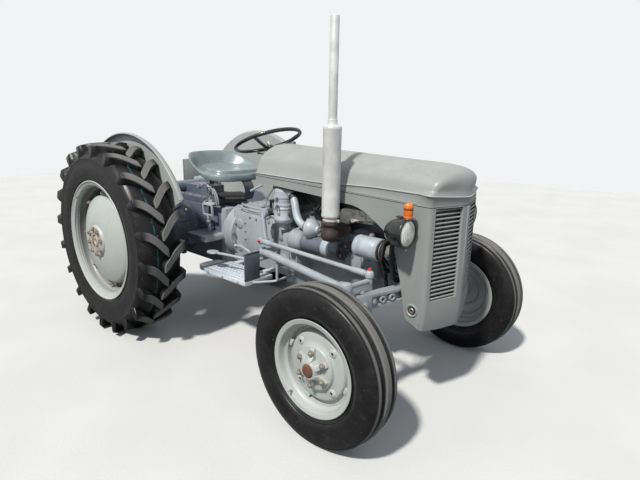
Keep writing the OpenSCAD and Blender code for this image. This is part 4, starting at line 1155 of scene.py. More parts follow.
def seat_pan(sizes):
    """A pressed pan seat: high back wall, raised cushion form and a front edge rolled down."""
    def ease(v):
        v = min(1.0, max(0.0, v))
        return v * v * (3 - 2 * v)
    rows, steps = [], 96
    us = [0, 0.2, 0.4, 0.55, 0.62, 0.65, 0.67, 0.69, 0.71, 0.73, 0.75, 0.77, 0.79, 0.81, 0.83, 0.85, 0.87, 0.89, 0.91,
          0.93, 0.95, 0.97, 0.99, 1.0]
    for i in range(steps):
        a = 2 * math.pi * i / steps
        ca, sa = math.cos(a), math.sin(a)
        wall = 107 * ease((0.45 - ca) / 1.3)
        front = ease((ca + 0.25) / 0.9)
        power = 2.15 + 1.1 * max(0.0, ca)
        reach = ((abs(ca) / (236 if ca < 0 else 232)) ** power + (abs(sa) / 240) ** power) ** (-1 / power)
        row = []
        for u in us:
            cushion = 27 * ease((0.71 + 0.21 * front - u) / 0.055)
            z = cushion + 3 * u * (1 - front) + wall * ease((u - 0.74) / 0.3) ** 0.9
            z += 5 * front * ease((u - 0.3) / 0.4)
            row.append((u * reach * ca, u * reach * sa, z))
        x, y, z = row[-1]
        for out, down in ((4, 1.5 - 9 * front), (6.5, -3 - 18 * front), (5.5, -9 - 26 * front), (2, -12 - 29 * front)):
            row.append((x + out * ca, y + out * sa, z + down))
        rows.append(row)
    pan = grid(rows, True).turned(3.5, "Y").moved(284, 0, 1027)
    mount = slab((196, -36, 1000), (316, 36, 1023), 4)
    fitted("seat_mount", mount, "navy_paint", "seat", bevel=3)
    piece("seat_pan", pan, "enamel", "chassis", ("seat",), wall=3, angle=60, levels=1)


def seat_parts(sizes):
    """Seat pan on its leaf spring"""
    seat_pan(sizes)
    path = [(228, 0, 1008), (330, 0, 1005), (420, 0, 1000), (478, 0, 990), (512, 0, 968), (530, 0, 938), (535, 0, 905),
            (526, 0, 872), (506, 0, 855), (480, 0, 848.5), (440, 0, 848.3), (330, 0, 848.3), (185, 0, 848.3)]
    spring = sweep(rounded(path, 5), oblong(38, 5))
    piece("seat_spring_leaf", spring, "navy_paint", "chassis", ("seat_spring",), bevel=2)
    bolts("seat_bolts", [((300, y, 853.5), (0, 0, 1)) for y in (-20, 20)] + [((360, 0, 853.5), (0, 0, 1))], "nuts",
          9, 7)


def steering_parts(sizes):
    """Steering wheel and column"""
    rows = []
    rim_r, tube_r = 206, 12
    for i in range(96):
        a = 2 * math.pi * i / 96
        row = []
        for j in range(16):
            b = 2 * math.pi * j / 16
            swell = 1 - 0.10 * (0.5 + 0.5 * math.cos(36 * a)) * max(0.0, -math.sin(b) + 0.1)
            across, z = polar(tube_r * swell, b, rim_r)
            row.append((*polar(across, a), z))
        rows.append(row + row[:1])
    rim = grid(rows, True)
    spokes = []
    for a in (295, 55, 175):
        bend = [(*polar(r, math.radians(a)), z) for r, z in ((14, -46), (60, -45), (120, -30), (170, -10), (204, 0))]
        spokes.append(sweep(rounded(bend, 3), oblong(10, 3.5)))
    cap = lathe([(0, -4), (6, -5), (11, -9), (13, -16), (13, -31), (0, -31)], (0, 0, 0), "z", 28)
    hub = lathe([(0, -30), (10, -30), (20, -32), (26, -37), (28, -43), (28, -60), (24, -64), (14, -66), (11, -68),
                 (11, -130), (0, -130)], (0, 0, 0), "z", 40)

    def lean(shape):
        return shape.turned(-22.1, "Y").moved(721.4, 0, 1247.6)
    piece("steering_rim", lean(rim), "bakelite", "steering_wheel", ("steering_wheel",), angle=60)
    piece("steering_spokes", lean(joined(spokes + [hub])), "black_paint", "steering_wheel", slot="steering_wheel",
          angle=50)
    piece("wheel_nut", lean(cap), "nuts", "steering_wheel", slot="steering_wheel")
    throttle = tube([(-12, -18, -80), (-28, -42, -74), (-42, -62, -63)], 5, 12, 3) + ball((-44, -65, -61), 8)
    fitted("throttle_lever", lean(throttle), "black_paint", "dash")
    column = lathe([(0, -385), (30, -385), (30, -360), (25, -352), (24, -340), (24, -88), (26, -84), (26, -72),
                    (20, -71), (0, -71)], (0, 0, 0), "z", 36)
    fitted("steering_column", lean(column), "black_paint", "dash")


# Castings that keep their CAD shape get softened edges

def soften(node, finish, bevel):
    """A merged copy of a CAD node with rounded edges, in its place."""
    body = next(b for b, nodes in frame["record"]["behaviour"]["bodies"].items() if node in nodes)
    mesh = frame["nodes"][node].data.copy()
    bm = bmesh.new()
    bm.from_mesh(mesh)
    bmesh.ops.remove_doubles(bm, verts=bm.verts, dist=3e-5)
    bmesh.ops.dissolve_limit(bm, angle_limit=math.radians(1.0), verts=bm.verts, edges=bm.edges)
    bm.to_mesh(mesh)
    bm.free()
    thing = linked(node + "_finish", mesh)
    soft_edges(thing, bevel)
    settled(thing)
    smoothed(thing, 34, finish)
    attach(thing, body)
    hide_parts(node)


# Engine side

def clip(x, y, z):
    """A toggle clip that holds two round shells together, on the side that faces -Y."""
    low, high = z - 23, z + 23
    wire = tube([(x - 7, y, low), (x - 7, y - 5, z), (x - 5, y - 7, high), (x + 5, y - 7, high),
                 (x + 7, y - 5, z), (x + 7, y, low)], 1.8, 8, 4)
    return wire + block((x - 9, y - 6, low - 6), (x + 9, y + 2, low + 4))


def air_cleaner_parts(sizes):
    """Air cleaner, intake pipe and dome"""
    x, y = 1045, -176
    bowl = [(0, 764), (24, 764), (27, 767), (27, 796), (34, 801), (48, 806), (55, 814), (56, 822), (58, 825),
            (58, 832), (56, 835), (56, 884), (58.5, 887), (58.5, 895), (56, 898), (53.5, 901), (53.5, 935),
            (54.5, 938), (54.5, 944), (53.5, 947), (53.5, 985), (51, 998), (44, 1006), (30, 1010), (0, 1010)]
    body = turned_z(bowl, x, y, 64)
    piece("air_cleaner_body", body, "tank_paint", "chassis", ("air_cleaner",), angle=36)
    straps = [turned_z([(54, z), (57.2, z + 1), (57.2, z + 15), (54, z + 16), (54, z)], x, y, 56) for z in (948, 905)]
    lugs = [block((x - 9, y - 72, z + 2), (x + 9, y - 56, z + 14)) for z in (948, 905)]
    fitted("air_cleaner_straps", joined(straps + lugs), "tank_paint", "air_cleaner", bevel=1)
    clips = [clip(x, y - 57, 890).turned(a, "Z", (x, y, 0)) for a in (-50, 15, 75)]
    fitted("air_cleaner_clips", joined(clips), "steel", "air_cleaner")
    bolts("air_cleaner_bolts", [((x - 9, y - 65, z + 8), (-1, 0, 0)) for z in (948, 905)] +
          [((x + 9, y - 65, z + 8), (1, 0, 0)) for z in (948, 905)], "nuts", 5, 5)
    pipe = tube([(1078, -180, 985), (1108, -186, 984), (1140, -196, 966), (1165, -207, 930), (1186, -217, 886),
                 (1212, -223, 848), (1250, -225, 826), (1300, -225, 820)], 21, 20, 5)
    cuffs = rod((1128, -192, 974), (1150, -199, 956), 24.5) + rod((1262, -225, 823), (1288, -225, 821), 25)
    fitted("intake_pipe", pipe, "tank_paint", "air_cleaner", angle=50)
    fitted("intake_cuffs", cuffs, "hose", "air_cleaner", bevel=3)
    dome = [(0, 1284), (34, 1285), (47, 1289), (53, 1297), (54.5, 1306), (52, 1318), (45, 1331), (35, 1342), (26, 1350),
            (22, 1353), (21, 1363), (18, 1366), (0, 1366)]
    fitted("precleaner_dome", turned_x(dome, -225, 820, 56), "tank_paint", "air_cleaner", angle=40)
    bolts("precleaner_nut", [((1366, -225, 820), (1, 0, 0))], "nuts", 10, 9)
    stay = block((1052, -166, 771), (1088, -122, 778)) + block((1052, -166, 771), (1088, -160, 800))
    fitted("air_cleaner_stay", stay, "cast_blue", "air_cleaner", bevel=1.5)


def dynamo_parts(sizes):
    """Dynamo with its belt drive"""
    y, z = -215, 785
    barrel = [(0, 1611), (30, 1611), (46, 1613), (53, 1618), (56, 1626), (56, 1640), (55, 1641.5), (55, 1643.5),
              (56, 1645), (56, 1742), (55, 1743.5), (55, 1745.5), (56, 1747), (56, 1757), (53, 1760), (0, 1760)]
    piece("dynamo_barrel", turned_x(barrel, y, z, 64), "tank_paint", "chassis", ("dynamo",), angle=36)
    end = [(0, 1757), (52, 1759), (53, 1762), (52, 1768), (44, 1771), (0, 1771)]
    fan_disc = [(0, 1769), (20, 1770), (46, 1774), (49, 1775), (49, 1777.5), (20, 1776), (0, 1776)]
    pulley = [(0, 1775), (36, 1776), (38, 1777), (33, 1781.5), (38, 1786),
              (36, 1787.5), (14, 1788), (13, 1794), (0, 1794)]
    fitted("dynamo_end", turned_x(end, y, z) + turned_x(pulley, y, z), "black_matt", "dynamo", angle=36)
    fitted("dynamo_fan", turned_x(fan_disc, y, z), "steel", "dynamo")
    ear = prism([(-190, 800), (-150, 838), (-128, 838), (-128, 730), (-150, 730), (-200, 742)], 1640, 1664, "x")
    strap = prism([(-214, 728), (-206, 700), (-132, 700), (-132, 716), (-196, 718), (-202, 730)], 1730, 1744, "x")
    fitted("dynamo_bracket", ear + strap, "dark_cast", "dynamo", bevel=2)
    hoop = prism([(-262, 838), (-216, 858), (-150, 852), (-150, 832), (-214, 838), (-240, 820), (-258, 760),
                  (-226, 706), (-150, 690), (-150, 672), (-238, 686), (-276, 752)], 1796, 1804, "x")
    bar = sweep([(1800, -230, 700), (1806, -236, 660), (1812, -230, 610), (1815, -210, 572)],
                oblong(13, 4), up=(1, 0, 0))
    fitted("dynamo_hoop", hoop + bar, "black_gloss", "dynamo", bevel=1.5)
    cone = [(0, 1794), (30, 1795), (34, 1799), (34, 1803), (22, 1808), (14, 1812), (0, 1813)]
    fitted("dynamo_pulley_face", turned_x(cone, y, z, 44), "dirty_silver", "dynamo")
    bolts("dynamo_bolts", facing_x(1772, 40, y, z, 1, (0.7, 3.84)) + facing_x(1611, 30, y, z, -1, (0.9, 4.04)),
          "nuts", 5, 4)
    # Belt from the dynamo to the crank pulley
    belt_x, crank_z = 1782, 640
    down = (Vector((0, 0, crank_z)) - Vector((0, y, z))).normalized()
    loop = []
    for r, cy, cz, way in ((36, y, z, 1), (62, 0, crank_z, -1)):
        first = math.atan2(way * down.y, -way * down.z)
        loop += [(belt_x, *polar(r, first + math.pi * i / 12, cy, cz)) for i in range(13)]
    fitted("fan_belt", sweep(loop, oblong(4.5, 4), up=(1, 0, 0), closed=True), "hose", "radiator")
    crank = [(0, 1692), (50, 1692), (50, 1772), (60, 1774), (64, 1776), (58, 1782), (64, 1788), (60, 1790),
             (16, 1791), (0, 1791)]
    fitted("crank_pulley", turned_x(crank, 0, 640), "black_matt", "engine", angle=36)


def starter_parts(sizes):
    """Starter and its housing"""
    y, z = -212, 733
    barrel = [(0, 1250), (44, 1251), (47, 1255), (47, 1398), (48.5, 1400), (48.5, 1444), (47, 1446), (47, 1462),
              (49, 1464), (49, 1502), (46, 1509), (39, 1513), (0, 1514)]
    piece("starter_barrel", turned_x(barrel, y, z, 60), "starter_paint", "chassis", ("starter",), angle=36)
    band = [(48.4, 1402), (50.5, 1403), (50.5, 1442), (48.4, 1443), (48.4, 1402)]
    fitted("starter_band", turned_x(band, y, z, 56) + block((1416, y - 12, z + 46), (1428, y + 12, z + 58)),
           "tank_paint", "starter", bevel=0.8)
    disc = [(0, 1510), (43, 1511), (47.5, 1514), (47.5, 1520), (40, 1523),
            (36, 1519), (20, 1520), (17, 1526), (0, 1526)]
    fitted("starter_end", turned_x(disc, y, z), "black_matt", "starter", angle=36)
    spokes = [rod((1520, *polar(16, k * 1.2566, y, z)), (1520, *polar(42, k * 1.2566, y, z)), 4) for k in range(5)]
    fitted("starter_spokes", joined(spokes), "starter_paint", "starter")
    bolts("starter_bolts", facing_x(1519, 30, y, z, 1, (0.8, 3.94)), "nuts", 5, 4)
    # Ribbed starter housing on the clutch case
    clam = [(0, 1150), (40, 1151), (52, 1158), (58, 1168), (61, 1180), (57.5, 1184), (61.5, 1188), (62, 1199),
            (58.5, 1203), (62, 1207), (62, 1218), (58, 1222), (61, 1226), (60, 1238), (52, 1246), (46, 1251),
            (0, 1251)]
    fitted("starter_housing", turned_x(clam, y, z, 56), "cast_blue", "gearbox_case", angle=30)
    web = prism([(-212, 733), (-170, 672), (-150, 640), (-150, 800), (-180, 788)], 1152, 1178, "x")
    fitted("starter_web", web, "cast_blue", "gearbox_case", bevel=4)
    cable = tube([(1440, y - 8, z + 54), (1432, y + 4, z + 74), (1390, y + 30, z + 100), (1310, y + 60, z + 160),
                  (1200, -140, 960), (1120, -110, 1010)], 5, 10, 6)
    fitted("starter_cable", cable, "hose", "starter")


def manifold_parts(sizes):
    """Exhaust manifold, elbow and carburettor"""
    ports = [slab((x - 19, -160, 800), (x + 19, -118.4, 858), 2) for x in (1390, 1440)]
    trunk = tube([(1368, -158, 828), (1420, -166, 830), (1490, -170, 832)], 25, 18, 4)
    branch = prism([(1448, 866), (1452, 934), (1478, 948), (1560, 951), (1640, 947), (1690, 936), (1698, 924),
                    (1662, 906), (1560, 888), (1510, 866)], -164, -118.4, "y")
    facet = prism([(1486, 932), (1546, 936), (1530, 902), (1512, 868), (1490, 868)], -169, -163, "y")
    elbow = tube([(1505, -165, 838), (1505, -215, 835), (1505, -262, 834), (1505, -290, 840)], 30, 20, 4)
    cup = turned_z([(0, 800), (20, 801), (36, 807), (46, 820), (48, 836), (44, 852), (38, 864), (37, 880), (44, 883),
                    (46, 886), (46, 896), (44, 899), (0, 899)], *EXHAUST, 48)
    piece("exhaust_manifold", joined(ports + [trunk]), "burnt", "chassis", ("manifold",), bevel=3)
    # The branch's stained paint is lightened as painted light, and the silver face beside it is a patch of painted
    # sunlight
    fitted("manifold_branch", branch, "stained_and_lit", "engine", bevel=12)
    fitted("painted_sunlit_face", facet, "silver", "engine", bevel=2)
    fitted("exhaust_elbow", elbow + cup, "scorched", "manifold", angle=45)
    bolts("manifold_bolts", [((x, -161, z), (0, -1, 0)) for x in (1415, 1470) for z in (820, 866)], "rust_nuts", 7, 6)
    bolts("flange_bolts", [((*polar(40, math.radians(a), *EXHAUST), 899), (0, 0, 1)) for a in (20, 140, 260)],
          "rust_nuts", 5.5, 7)
    carb = turned_z([(0, 858), (20, 860), (26, 866), (26, 892), (22, 896), (14, 900), (14, 912), (0, 913)],
                    1425, -196, 32)
    throat = rod((1380, -212, 846), (1425, -210, 846), 19) + block((1402, -226, 828), (1440, -178, 862))
    fitted("carburettor", carb + throat, "black_matt", "manifold", bevel=2)
    leads = [tube([(1300 + k * 26, -150, 905 - k * 7), (1306 + k * 26, -190, 912), (1330 + k * 22, -176, 952),
                   (1350 + k * 20, -130, 985)], 5.5, 8, 5) for k in range(5)]
    fitted("right_leads", joined(leads), "hose", "engine")
    caps = [lathe([(0, 0), (7, 0), (8, 3), (8, 12), (4, 15), (0, 15)], (1334 + k * 44, -164, 940 - k * 10), "z", 16)
            for k in range(3)]
    fitted("brass_caps", joined(caps), "gold", "engine")
    shield = block((1240, -128, 850), (1396, -112, 1000))
    fitted("engine_shadow_plate", shield, "black_matt", "engine", bevel=3)


def engine_parts(sizes):
    """Engine block, head and fittings"""
    soften("engine", "cast_blue", 4)
    # Cylinder head with its ribs and a bare aluminium side
    head = prism([(1396, 884), (1410, 918), (1500, 924), (1640, 922), (1656, 905), (1650, 878), (1480, 872)], -131,
                 -112, "y")
    ribs = [block((x, -133, 884), (x + 4, -128, 916)) for x in range(1414, 1619, 34)]
    fitted("head_side", joined([head] + ribs), "dirty_silver", "engine", bevel=2)
    # Painted shade: a dark navy panel stands for the shaded side of the block
    fitted("block_panel", prism([(1484, 880), (1600, 900), (1716, 912), (1716, 815), (1560, 800), (1484, 812)], -126,
                                -112, "y"), "navy_paint", "engine", bevel=3)
    fins = [prism([(x, 640), (x + 46, 640), (x + 26, 712)], -152, -139, "y") for x in (1430, 1556)]
    fitted("crankcase_fins", joined(fins).both(), "cast_blue", "engine", bevel=2)
    cover = slab((1258, -74, 924), (1642, 74, 986), 9)
    rim = block((1250, -80, 925), (1650, 80, 934))
    fitted("rocker_cover", cover + rim, "starter_paint", "engine", bevel=6)
    bolts("rocker_bolts", [((x, y, 934), (0, 0, 1)) for x in (1270, 1360, 1450, 1540, 1630) for y in (-84, 84)],
          "nuts", 6, 6)
    cup = [(0, -1), (18, -1), (22, 0), (22, 3), (17, 4), (14, 1.5), (0, 1.5)]
    for i, x in enumerate((1250, 1380, 1620)):
        plug = lathe([(r, -118 - t) for r, t in cup], (x, 0, 760), "y", 28)
        fitted("core_plug_%d" % i, plug.both(), "cast_blue", "engine")
    rail = [((x, s * 140.5, z), (0, s, 0)) for x in range(1215, 1690, 52) for z in (612, 694) for s in (-1, 1)]
    bolts("crankcase_bolts", rail, "cast_nuts", 8, 6)
    ribs = [block((x, -143, 612), (x + 8, -139, 692)) for x in (1300, 1400, 1500, 1600)]
    fitted("crankcase_ribs", joined(ribs).both(), "cast_blue", "engine", bevel=1.5)
    # Oil filter, distributor and leads on the left
    oil = turned_z([(0, 560), (10, 561), (30, 566), (38, 574), (40, 590), (40, 690), (38, 698), (30, 702), (14, 704),
                    (14, 714), (0, 714)], 1330, 186, 40)
    arm = block((1305, 139, 640), (1355, 152, 690))
    fitted("oil_filter", oil + arm, "cast_blue", "engine", bevel=1)
    dist = turned_z([(0, 700), (22, 700), (22, 760), (30, 764), (32, 770), (32, 800), (29, 806), (26, 822), (14, 828),
                     (10, 836), (0, 836)], 1470, 168, 32)
    fitted("distributor", dist, "black_paint", "engine", angle=36)
    leads = [tube([(*polar(16, i * 1.5, 1470, 168), 822), (*polar(18, i * 1.5, 1470, 168), 848),
                   ((1470 + x) / 2, 158, 880), (x, 128, 892), (x, 112, 886)], 3.4, 8)
             for i, x in enumerate((1300, 1390, 1500, 1590))]
    fitted("spark_leads", joined(leads), "hose", "engine")
    pump = turned_x([(0, 1690.5), (60, 1691), (64, 1695), (60, 1702), (40, 1706), (26, 1712), (24, 1735), (0, 1735)],
                    0, 850, 40)
    hose = tube([(1700, 40, 880), (1730, 60, 950), (1752, 60, 1010), (1795, 60, 1030)], 19, 16)
    low = tube([(1700, 60, 800), (1740, 90, 770), (1772, 100, 790), (1800, 100, 800)], 19, 16)
    fitted("water_pump", pump, "cast_blue", "engine", angle=36)
    fitted("radiator_hoses", hose + low, "hose", "radiator")
    pipe = tube([(1560, -127, 790), (1520, -134, 770), (1420, -134, 745), (1330, -134, 742), (1240, -134, 760)],
                4, 10, 5)
    fitted("fuel_pipe", pipe, "copper", "engine")


def gearbox_parts(sizes):
    """Gearbox, covers and clutch case"""
    soften("gearbox_case", "case_paint", 3)
    plate = [(668, 580), (700, 545), (900, 585), (945, 640), (945, 760), (910, 792), (720, 796), (668, 750)]
    cx, cz = 810, 675
    places = []
    for (xa, za), (xb, zb) in zip(plate, plate[1:] + plate[:1]):
        k = max(1, round(math.hypot(xb - xa, zb - za) / 62))
        for j in range(k):
            x, z = xa + (xb - xa) * j / k, za + (zb - za) * j / k
            d = math.hypot(x - cx, z - cz)
            places.append((x - (x - cx) / d * 13, z - (z - cz) / d * 13))
    for name, s in SIDES:
        bolts("side_cover_bolts_" + name, [((x, s * 162.2, z), (0, s, 0)) for x, z in places], "cast_nuts", 8, 6)
    ring = facing_x(566, 172, 0, 636, 1, [math.radians(15 + i * 22.5) for i in range(16)])
    bolts("case_flange_bolts", ring, "cast_nuts", 9, 8)
    ring = facing_x(1149.5, 205, 0, 640, -1, [math.radians(-60 + i * 20) for i in range(16)])
    bolts("clutch_flange_bolts", ring, "cast_nuts", 9, 8)
    # Casting ribs and bosses on the clutch housing
    parts = [block((1060, -154, 470), (1068, -149, 755)), block((1044, -153, 748), (1150, -149, 760)),
             block((1080, -156, 560), (1140, -149, 640))]
    fitted("clutch_case_ribs", joined(parts).both(), "cast_blue", "gearbox_case", bevel=2)
    bosses = [lathe([(0, -148), (r * 0.55, -148), (r * 0.7, -146), (r, -142), (r, -139), (0, -139)], (x, 0, z), "y", 32)
              for x, z, r in ((600, 720, 34), (600, 560, 26), (1000, 560, 40), (985, 705, 30))]
    fitted("gearbox_bosses", joined(bosses).both(), "cast_blue", "gearbox_case", bevel=1)
    top = slab((600, -74, 834.5), (760, 74, 850), 4) + turned_z(
        [(0, 834), (44, 835), (46, 842), (34, 852), (20, 866), (17, 900), (0, 902)], 800, 0, 40)
    fitted("shift_cover", top, "cast_blue", "gearbox_case", bevel=2)
    bolts("shift_cover_bolts", [((x, y, 850), (0, 0, 1)) for x in (615, 680, 745) for y in (-60, 60)], "cast_nuts",
          8, 6)
    # Two pipes and a small lever on the right shoulder
    pipes = tube([(560, -116, 832), (640, -138, 826), (760, -142, 822), (880, -142, 818), (960, -130, 815),
                  (1010, -112, 850)], 6, 12)
    pipes = pipes + tube([(575, -96, 842), (650, -116, 838), (770, -122, 836), (890, -122, 832), (990, -104, 850)],
                         6, 12)
    fitted("shoulder_pipes", pipes, "rod_grey", "gearbox_case")
    lever = tube([(868, -148, 800), (868, -150, 850), (866, -150, 914)], 5, 12) + ball((868, -150, 852), 12)
    lever = lever + turned_z([(0, 796), (20, 797), (20, 806), (10, 812), (0, 812)], 868, -150, 28)
    fitted("shoulder_lever", lever, "rod_grey", "gearbox_case", bevel=0.6)


def rear_case_parts(sizes):
    """Rear axle case and lift cover"""
    # The rear case, lift cover, trumpet ribs and brake bracket take painted shade as a dark copy of the casting paint
    soften("rear_axle_case", "shaded_rear_cast", 4)
    soften("lift_cover", "shaded_rear_cast", 3)
    bolts("lift_cover_bolts", [((x, y, 842.3), (0, 0, 1)) for x in (-140, -50, 60, 170, 280) for y in (-136, 136)],
          "cast_nuts", 9, 7)
    for name, s in SIDES:
        ring = around(0, REAR_Z, 158, s * 172.3, s, 12, 12)
        bolts("trumpet_bolts_" + name, ring, "cast_nuts", 9, 8)
    ribs = []
    for a in (0, 60, 120, 180, 240, 300):
        rib = prism([(120, -176), (158, -176), (108, -330), (100, -380), (96, -380)], -4, 4, "z")
        ribs.append(rib.turned(a + 30, "Y").moved(0, 0, REAR_Z))
    fitted("trumpet_ribs", joined(ribs).both(), "shaded_rear_cast", "rear_axle_case", bevel=1.5)
    shelf = slab((262, -330, 606), (492, -158, 640), 5) + slab((262, -330, 560), (300, -158, 610), 2)
    fitted("brake_bracket", shelf.both(), "shaded_rear_cast", "rear_axle_case", bevel=5)
    cover = lathe([(0, -171), (58, -172), (66, -176), (70, -182), (52, -190), (0, -192)], (0, 0, 560), "x", 40)
    fitted("pto_cover", cover, "dark_cast", "rear_axle_case")
    bolts("pto_cover_bolts", facing_x(-184, 60, 0, 560, -1, [math.radians(30 + 60 * i) for i in range(6)]),
          "cast_nuts", 8, 7)
    bolts("rear_case_bolts", [((-170.3, s * 146, z), (-1, 0, 0)) for z in (440, 530, 620, 710, 790) for s in (-1, 1)],
          "cast_nuts", 9, 8)
    plug = lathe([(0, 158), (26, 159), (28, 162), (28, 168.4), (0, 168.4)], (330, 0, 700), "y", 28)
    fitted("case_plugs", plug.both(), "dark_cast", "rear_axle_case")


def quadrant(sizes):
    """Lift quadrant and levers"""
    cx, cz = 318, 832

    def bow(outer, inner, a0, a1, n, y0, y1):
        return prism(arc(cx, cz, outer, a0, a1, n) + arc(cx, cz, inner, a1, a0, n), y0, y1, "y")
    plates = [bow(128, 108, -3, 134, 30, y0, y0 + 5) for y0 in (-206, -190)]
    # Painted shade: black arc strips on the face stand for the slots
    slots = [bow(r, r - 3.5, a0, a1, 8, -207.2, -205.6)
             for a0, a1 in ((8, 34), (42, 68), (76, 102), (110, 128)) for r in (123.5, 115.5)]
    fitted("quadrant_slots", joined(slots), "black_matt", "levers")
    foot = prism([(300, 806), (328, 806), (446, 832), (440, 838), (318, 832), (300, 826)], -206, -186, "y")
    base = block((296, -206, 800), (330, -150.4, 812)) + block((296, -160, 790), (330, -150.4, 840))
    arms = prism([(312, 826), (324, 826), (372, 925), (362, 929)], -201, -191, "y")
    # The quadrant plates take the lighter canister paint as a painted highlight
    piece("lift_quadrant", joined(plates + [foot, base]), "tank_paint", "chassis", ("levers",), bevel=1)
    lever = tube([(318, -195, 830), (340, -195, 872), (372, -196, 925), (392, -200, 962)], 6.5, 14)
    knob = ball((398, -201, 974), 17, 20)
    fitted("lift_lever", lever + arms, "steel", "levers", bevel=0.8)
    fitted("lift_lever_knob", knob, "bakelite", "levers")
    bolts("quadrant_bolts", around(cx, cz, 118, -206, -1, 12, 4)[:5], "steel", 7, 6)
    bolts("quadrant_studs", [((318, -206, 832), (0, -1, 0)), ((372, -201, 925), (0, -1, 0))], "steel", 10, 8)
    # Shackle frame below the quadrant
    loop = sweep([(316, -214, 752), (312, -214, 822), (404, -214, 824), (412, -214, 756)], oblong(7, 7),
                 up=(0, 1, 0), closed=True)
    drop = rod((362, -214, 756), (362, -214, 716), 8) + turned_z(
        [(0, 700), (13, 701), (15, 708), (13, 716), (0, 717)], 362, -214, 20)
    hanger = rod((340, -150, 824), (340, -218, 824), 9) + block((350, -214, 640), (374, -206, 704))
    fitted("check_shackle", joined([loop, drop, hanger]), "tank_paint", "levers", bevel=1)
    # Gear lever
    stick = tube([(800, 0, 835.5), (800, 0, 900), (790, 0, 960)], 8, 14) + ball((789, 0, 966), 18, 22)
    fitted("gear_lever", stick, "black_paint", "levers")


def footrests(sizes):
    """Step plates, toe boards and stays"""
    top = prism([(640, -250), (640, -455), (1026, -455), (1026, -250)], 492, 500, "z")
    ribs = [block((x, -448, 499), (x + 9, -258, 503)) for x in range(650, 1000, 30)]
    ribs += [block((650, y, 499), (1000, y + 9, 503)) for y in range(-448, -260, 30)]
    skirt = block((640, -455, 476), (1026, -449, 494)) + block((1018, -455, 476), (1026, -250, 494))
    toe = prism([(-455, 499), (-345, 499), (-345, 655), (-352, 662), (-448, 662), (-455, 655)], 1018, 1025, "x")
    fold = block((1008, -455, 652), (1025, -345, 662))
    under = block((640, -251, 478), (680, -140.4, 492)) + block((900, -251, 478), (940, -140.4, 492))
    # The step plates carry painted light in their light paint
    piece("step_plates", joined([top, skirt, under] + ribs).both(), "step_painted_light", "chassis", ("footrests",), bevel=1.2)
    # Painted shade: the toe boards and step tails take the dark slate paint for the shade on them
    fitted("toe_boards", (toe + fold).both(), "starter_paint", "footrests", bevel=2)
    tail = prism([(572, -440), (566, -330), (590, -300), (639, -292), (639, -455), (600, -455)], 480, 510, "z")
    fitted("step_tails", tail.both(), "starter_paint", "footrests", bevel=4)
    stay = tube([(1022, -400, 486), (1070, -350, 490), (1116, -306, 497), (1120, -302, 520), (1120, -302, 585)], 8, 12)
    bars = rod((1120, -306, 585), (1120, -150.4, 585), 8) + rod((1120, -302, 500), (1120, -150.4, 500), 8)
    fitted("step_stays", (stay + bars).both(), "rod_grey", "footrests")
    bolts("step_bolts", [((x, s * 455, 484), (0, s, 0)) for s in (-1, 1) for x in (680, 820, 960)], "cast_nuts", 7, 5)


def pedals(sizes):
    """Pedals and their shafts"""
    shaft = rod((958, -140.4, 585), (958, -356, 585), 9)
    arm = tube([(958, -344, 588), (900, -366, 596), (800, -402, 604), (712, -428, 605)], 8, 14)
    upper = tube([(950, -352, 590), (925, -330, 620), (880, -318, 634), (800, -300, 636), (742, -290, 628)], 7.5, 14)
    hub = lathe([(9, -330), (18, -331), (19, -334), (19, -352), (18, -355), (9, -356), (9, -330)],
                (958, 0, 585), "y", 28)
    pad = turned_z([(0, 600), (24, 600), (31, 603), (33, 608), (31, 612), (0, 613)], 700, -430, 36)
    pad = pad.mapped(lambda p: Vector(((p.x - 700) * 1.25 + 700, p.y, p.z)))
    knob = ball((738, -289, 628), 11)
    piece("pedals_and_shafts", joined([shaft, arm, upper, hub, pad, knob]).both(), "rod_grey", "chassis", ("pedals",))


def front_axle_parts(sizes):
    """Axle beam, support and radius rods"""
    soften("front_support", "axle_blue", 3)
    soften("front_axle", "axle_blue", 3)
    soften("radius_rods", "rod_grey", 2.5)
    # The beam is swept back, and its face looks outwards by the same angle
    slope = 134 / 505
    swept = math.radians(14.9)
    ax = WHEELBASE + 140
    for name, s in SIDES:
        aim = Vector((math.cos(swept), math.sin(swept) * s, 0))
        face = [(Vector((ax - slope * y, s * y, 592)) + aim * out, aim) for y, out in ((375, 25), (432, 39), (470, 39))]
        bolts("track_bolts_" + name, face, "cast_nuts", 13, 11)
        clamps = [((ax - slope * y, s * y, 635), (0, 0, 1)) for y in (420, 480)]
        bolts("clamp_bolts_" + name, clamps, "cast_nuts", 10, 8)
    grommets = []
    for y in (265, 320):
        ring = lathe([(9, 24), (17, 25), (18, 27), (16, 29), (9.5, 28.5), (9, 24)], (0, 0, 0), "x", 28)
        grommets.append(ring.turned(-14.9, "Z").moved(ax - slope * y, -y, 592))
    fitted("track_hole_rims", joined(grommets).both(), "axle_blue", "front_axle")


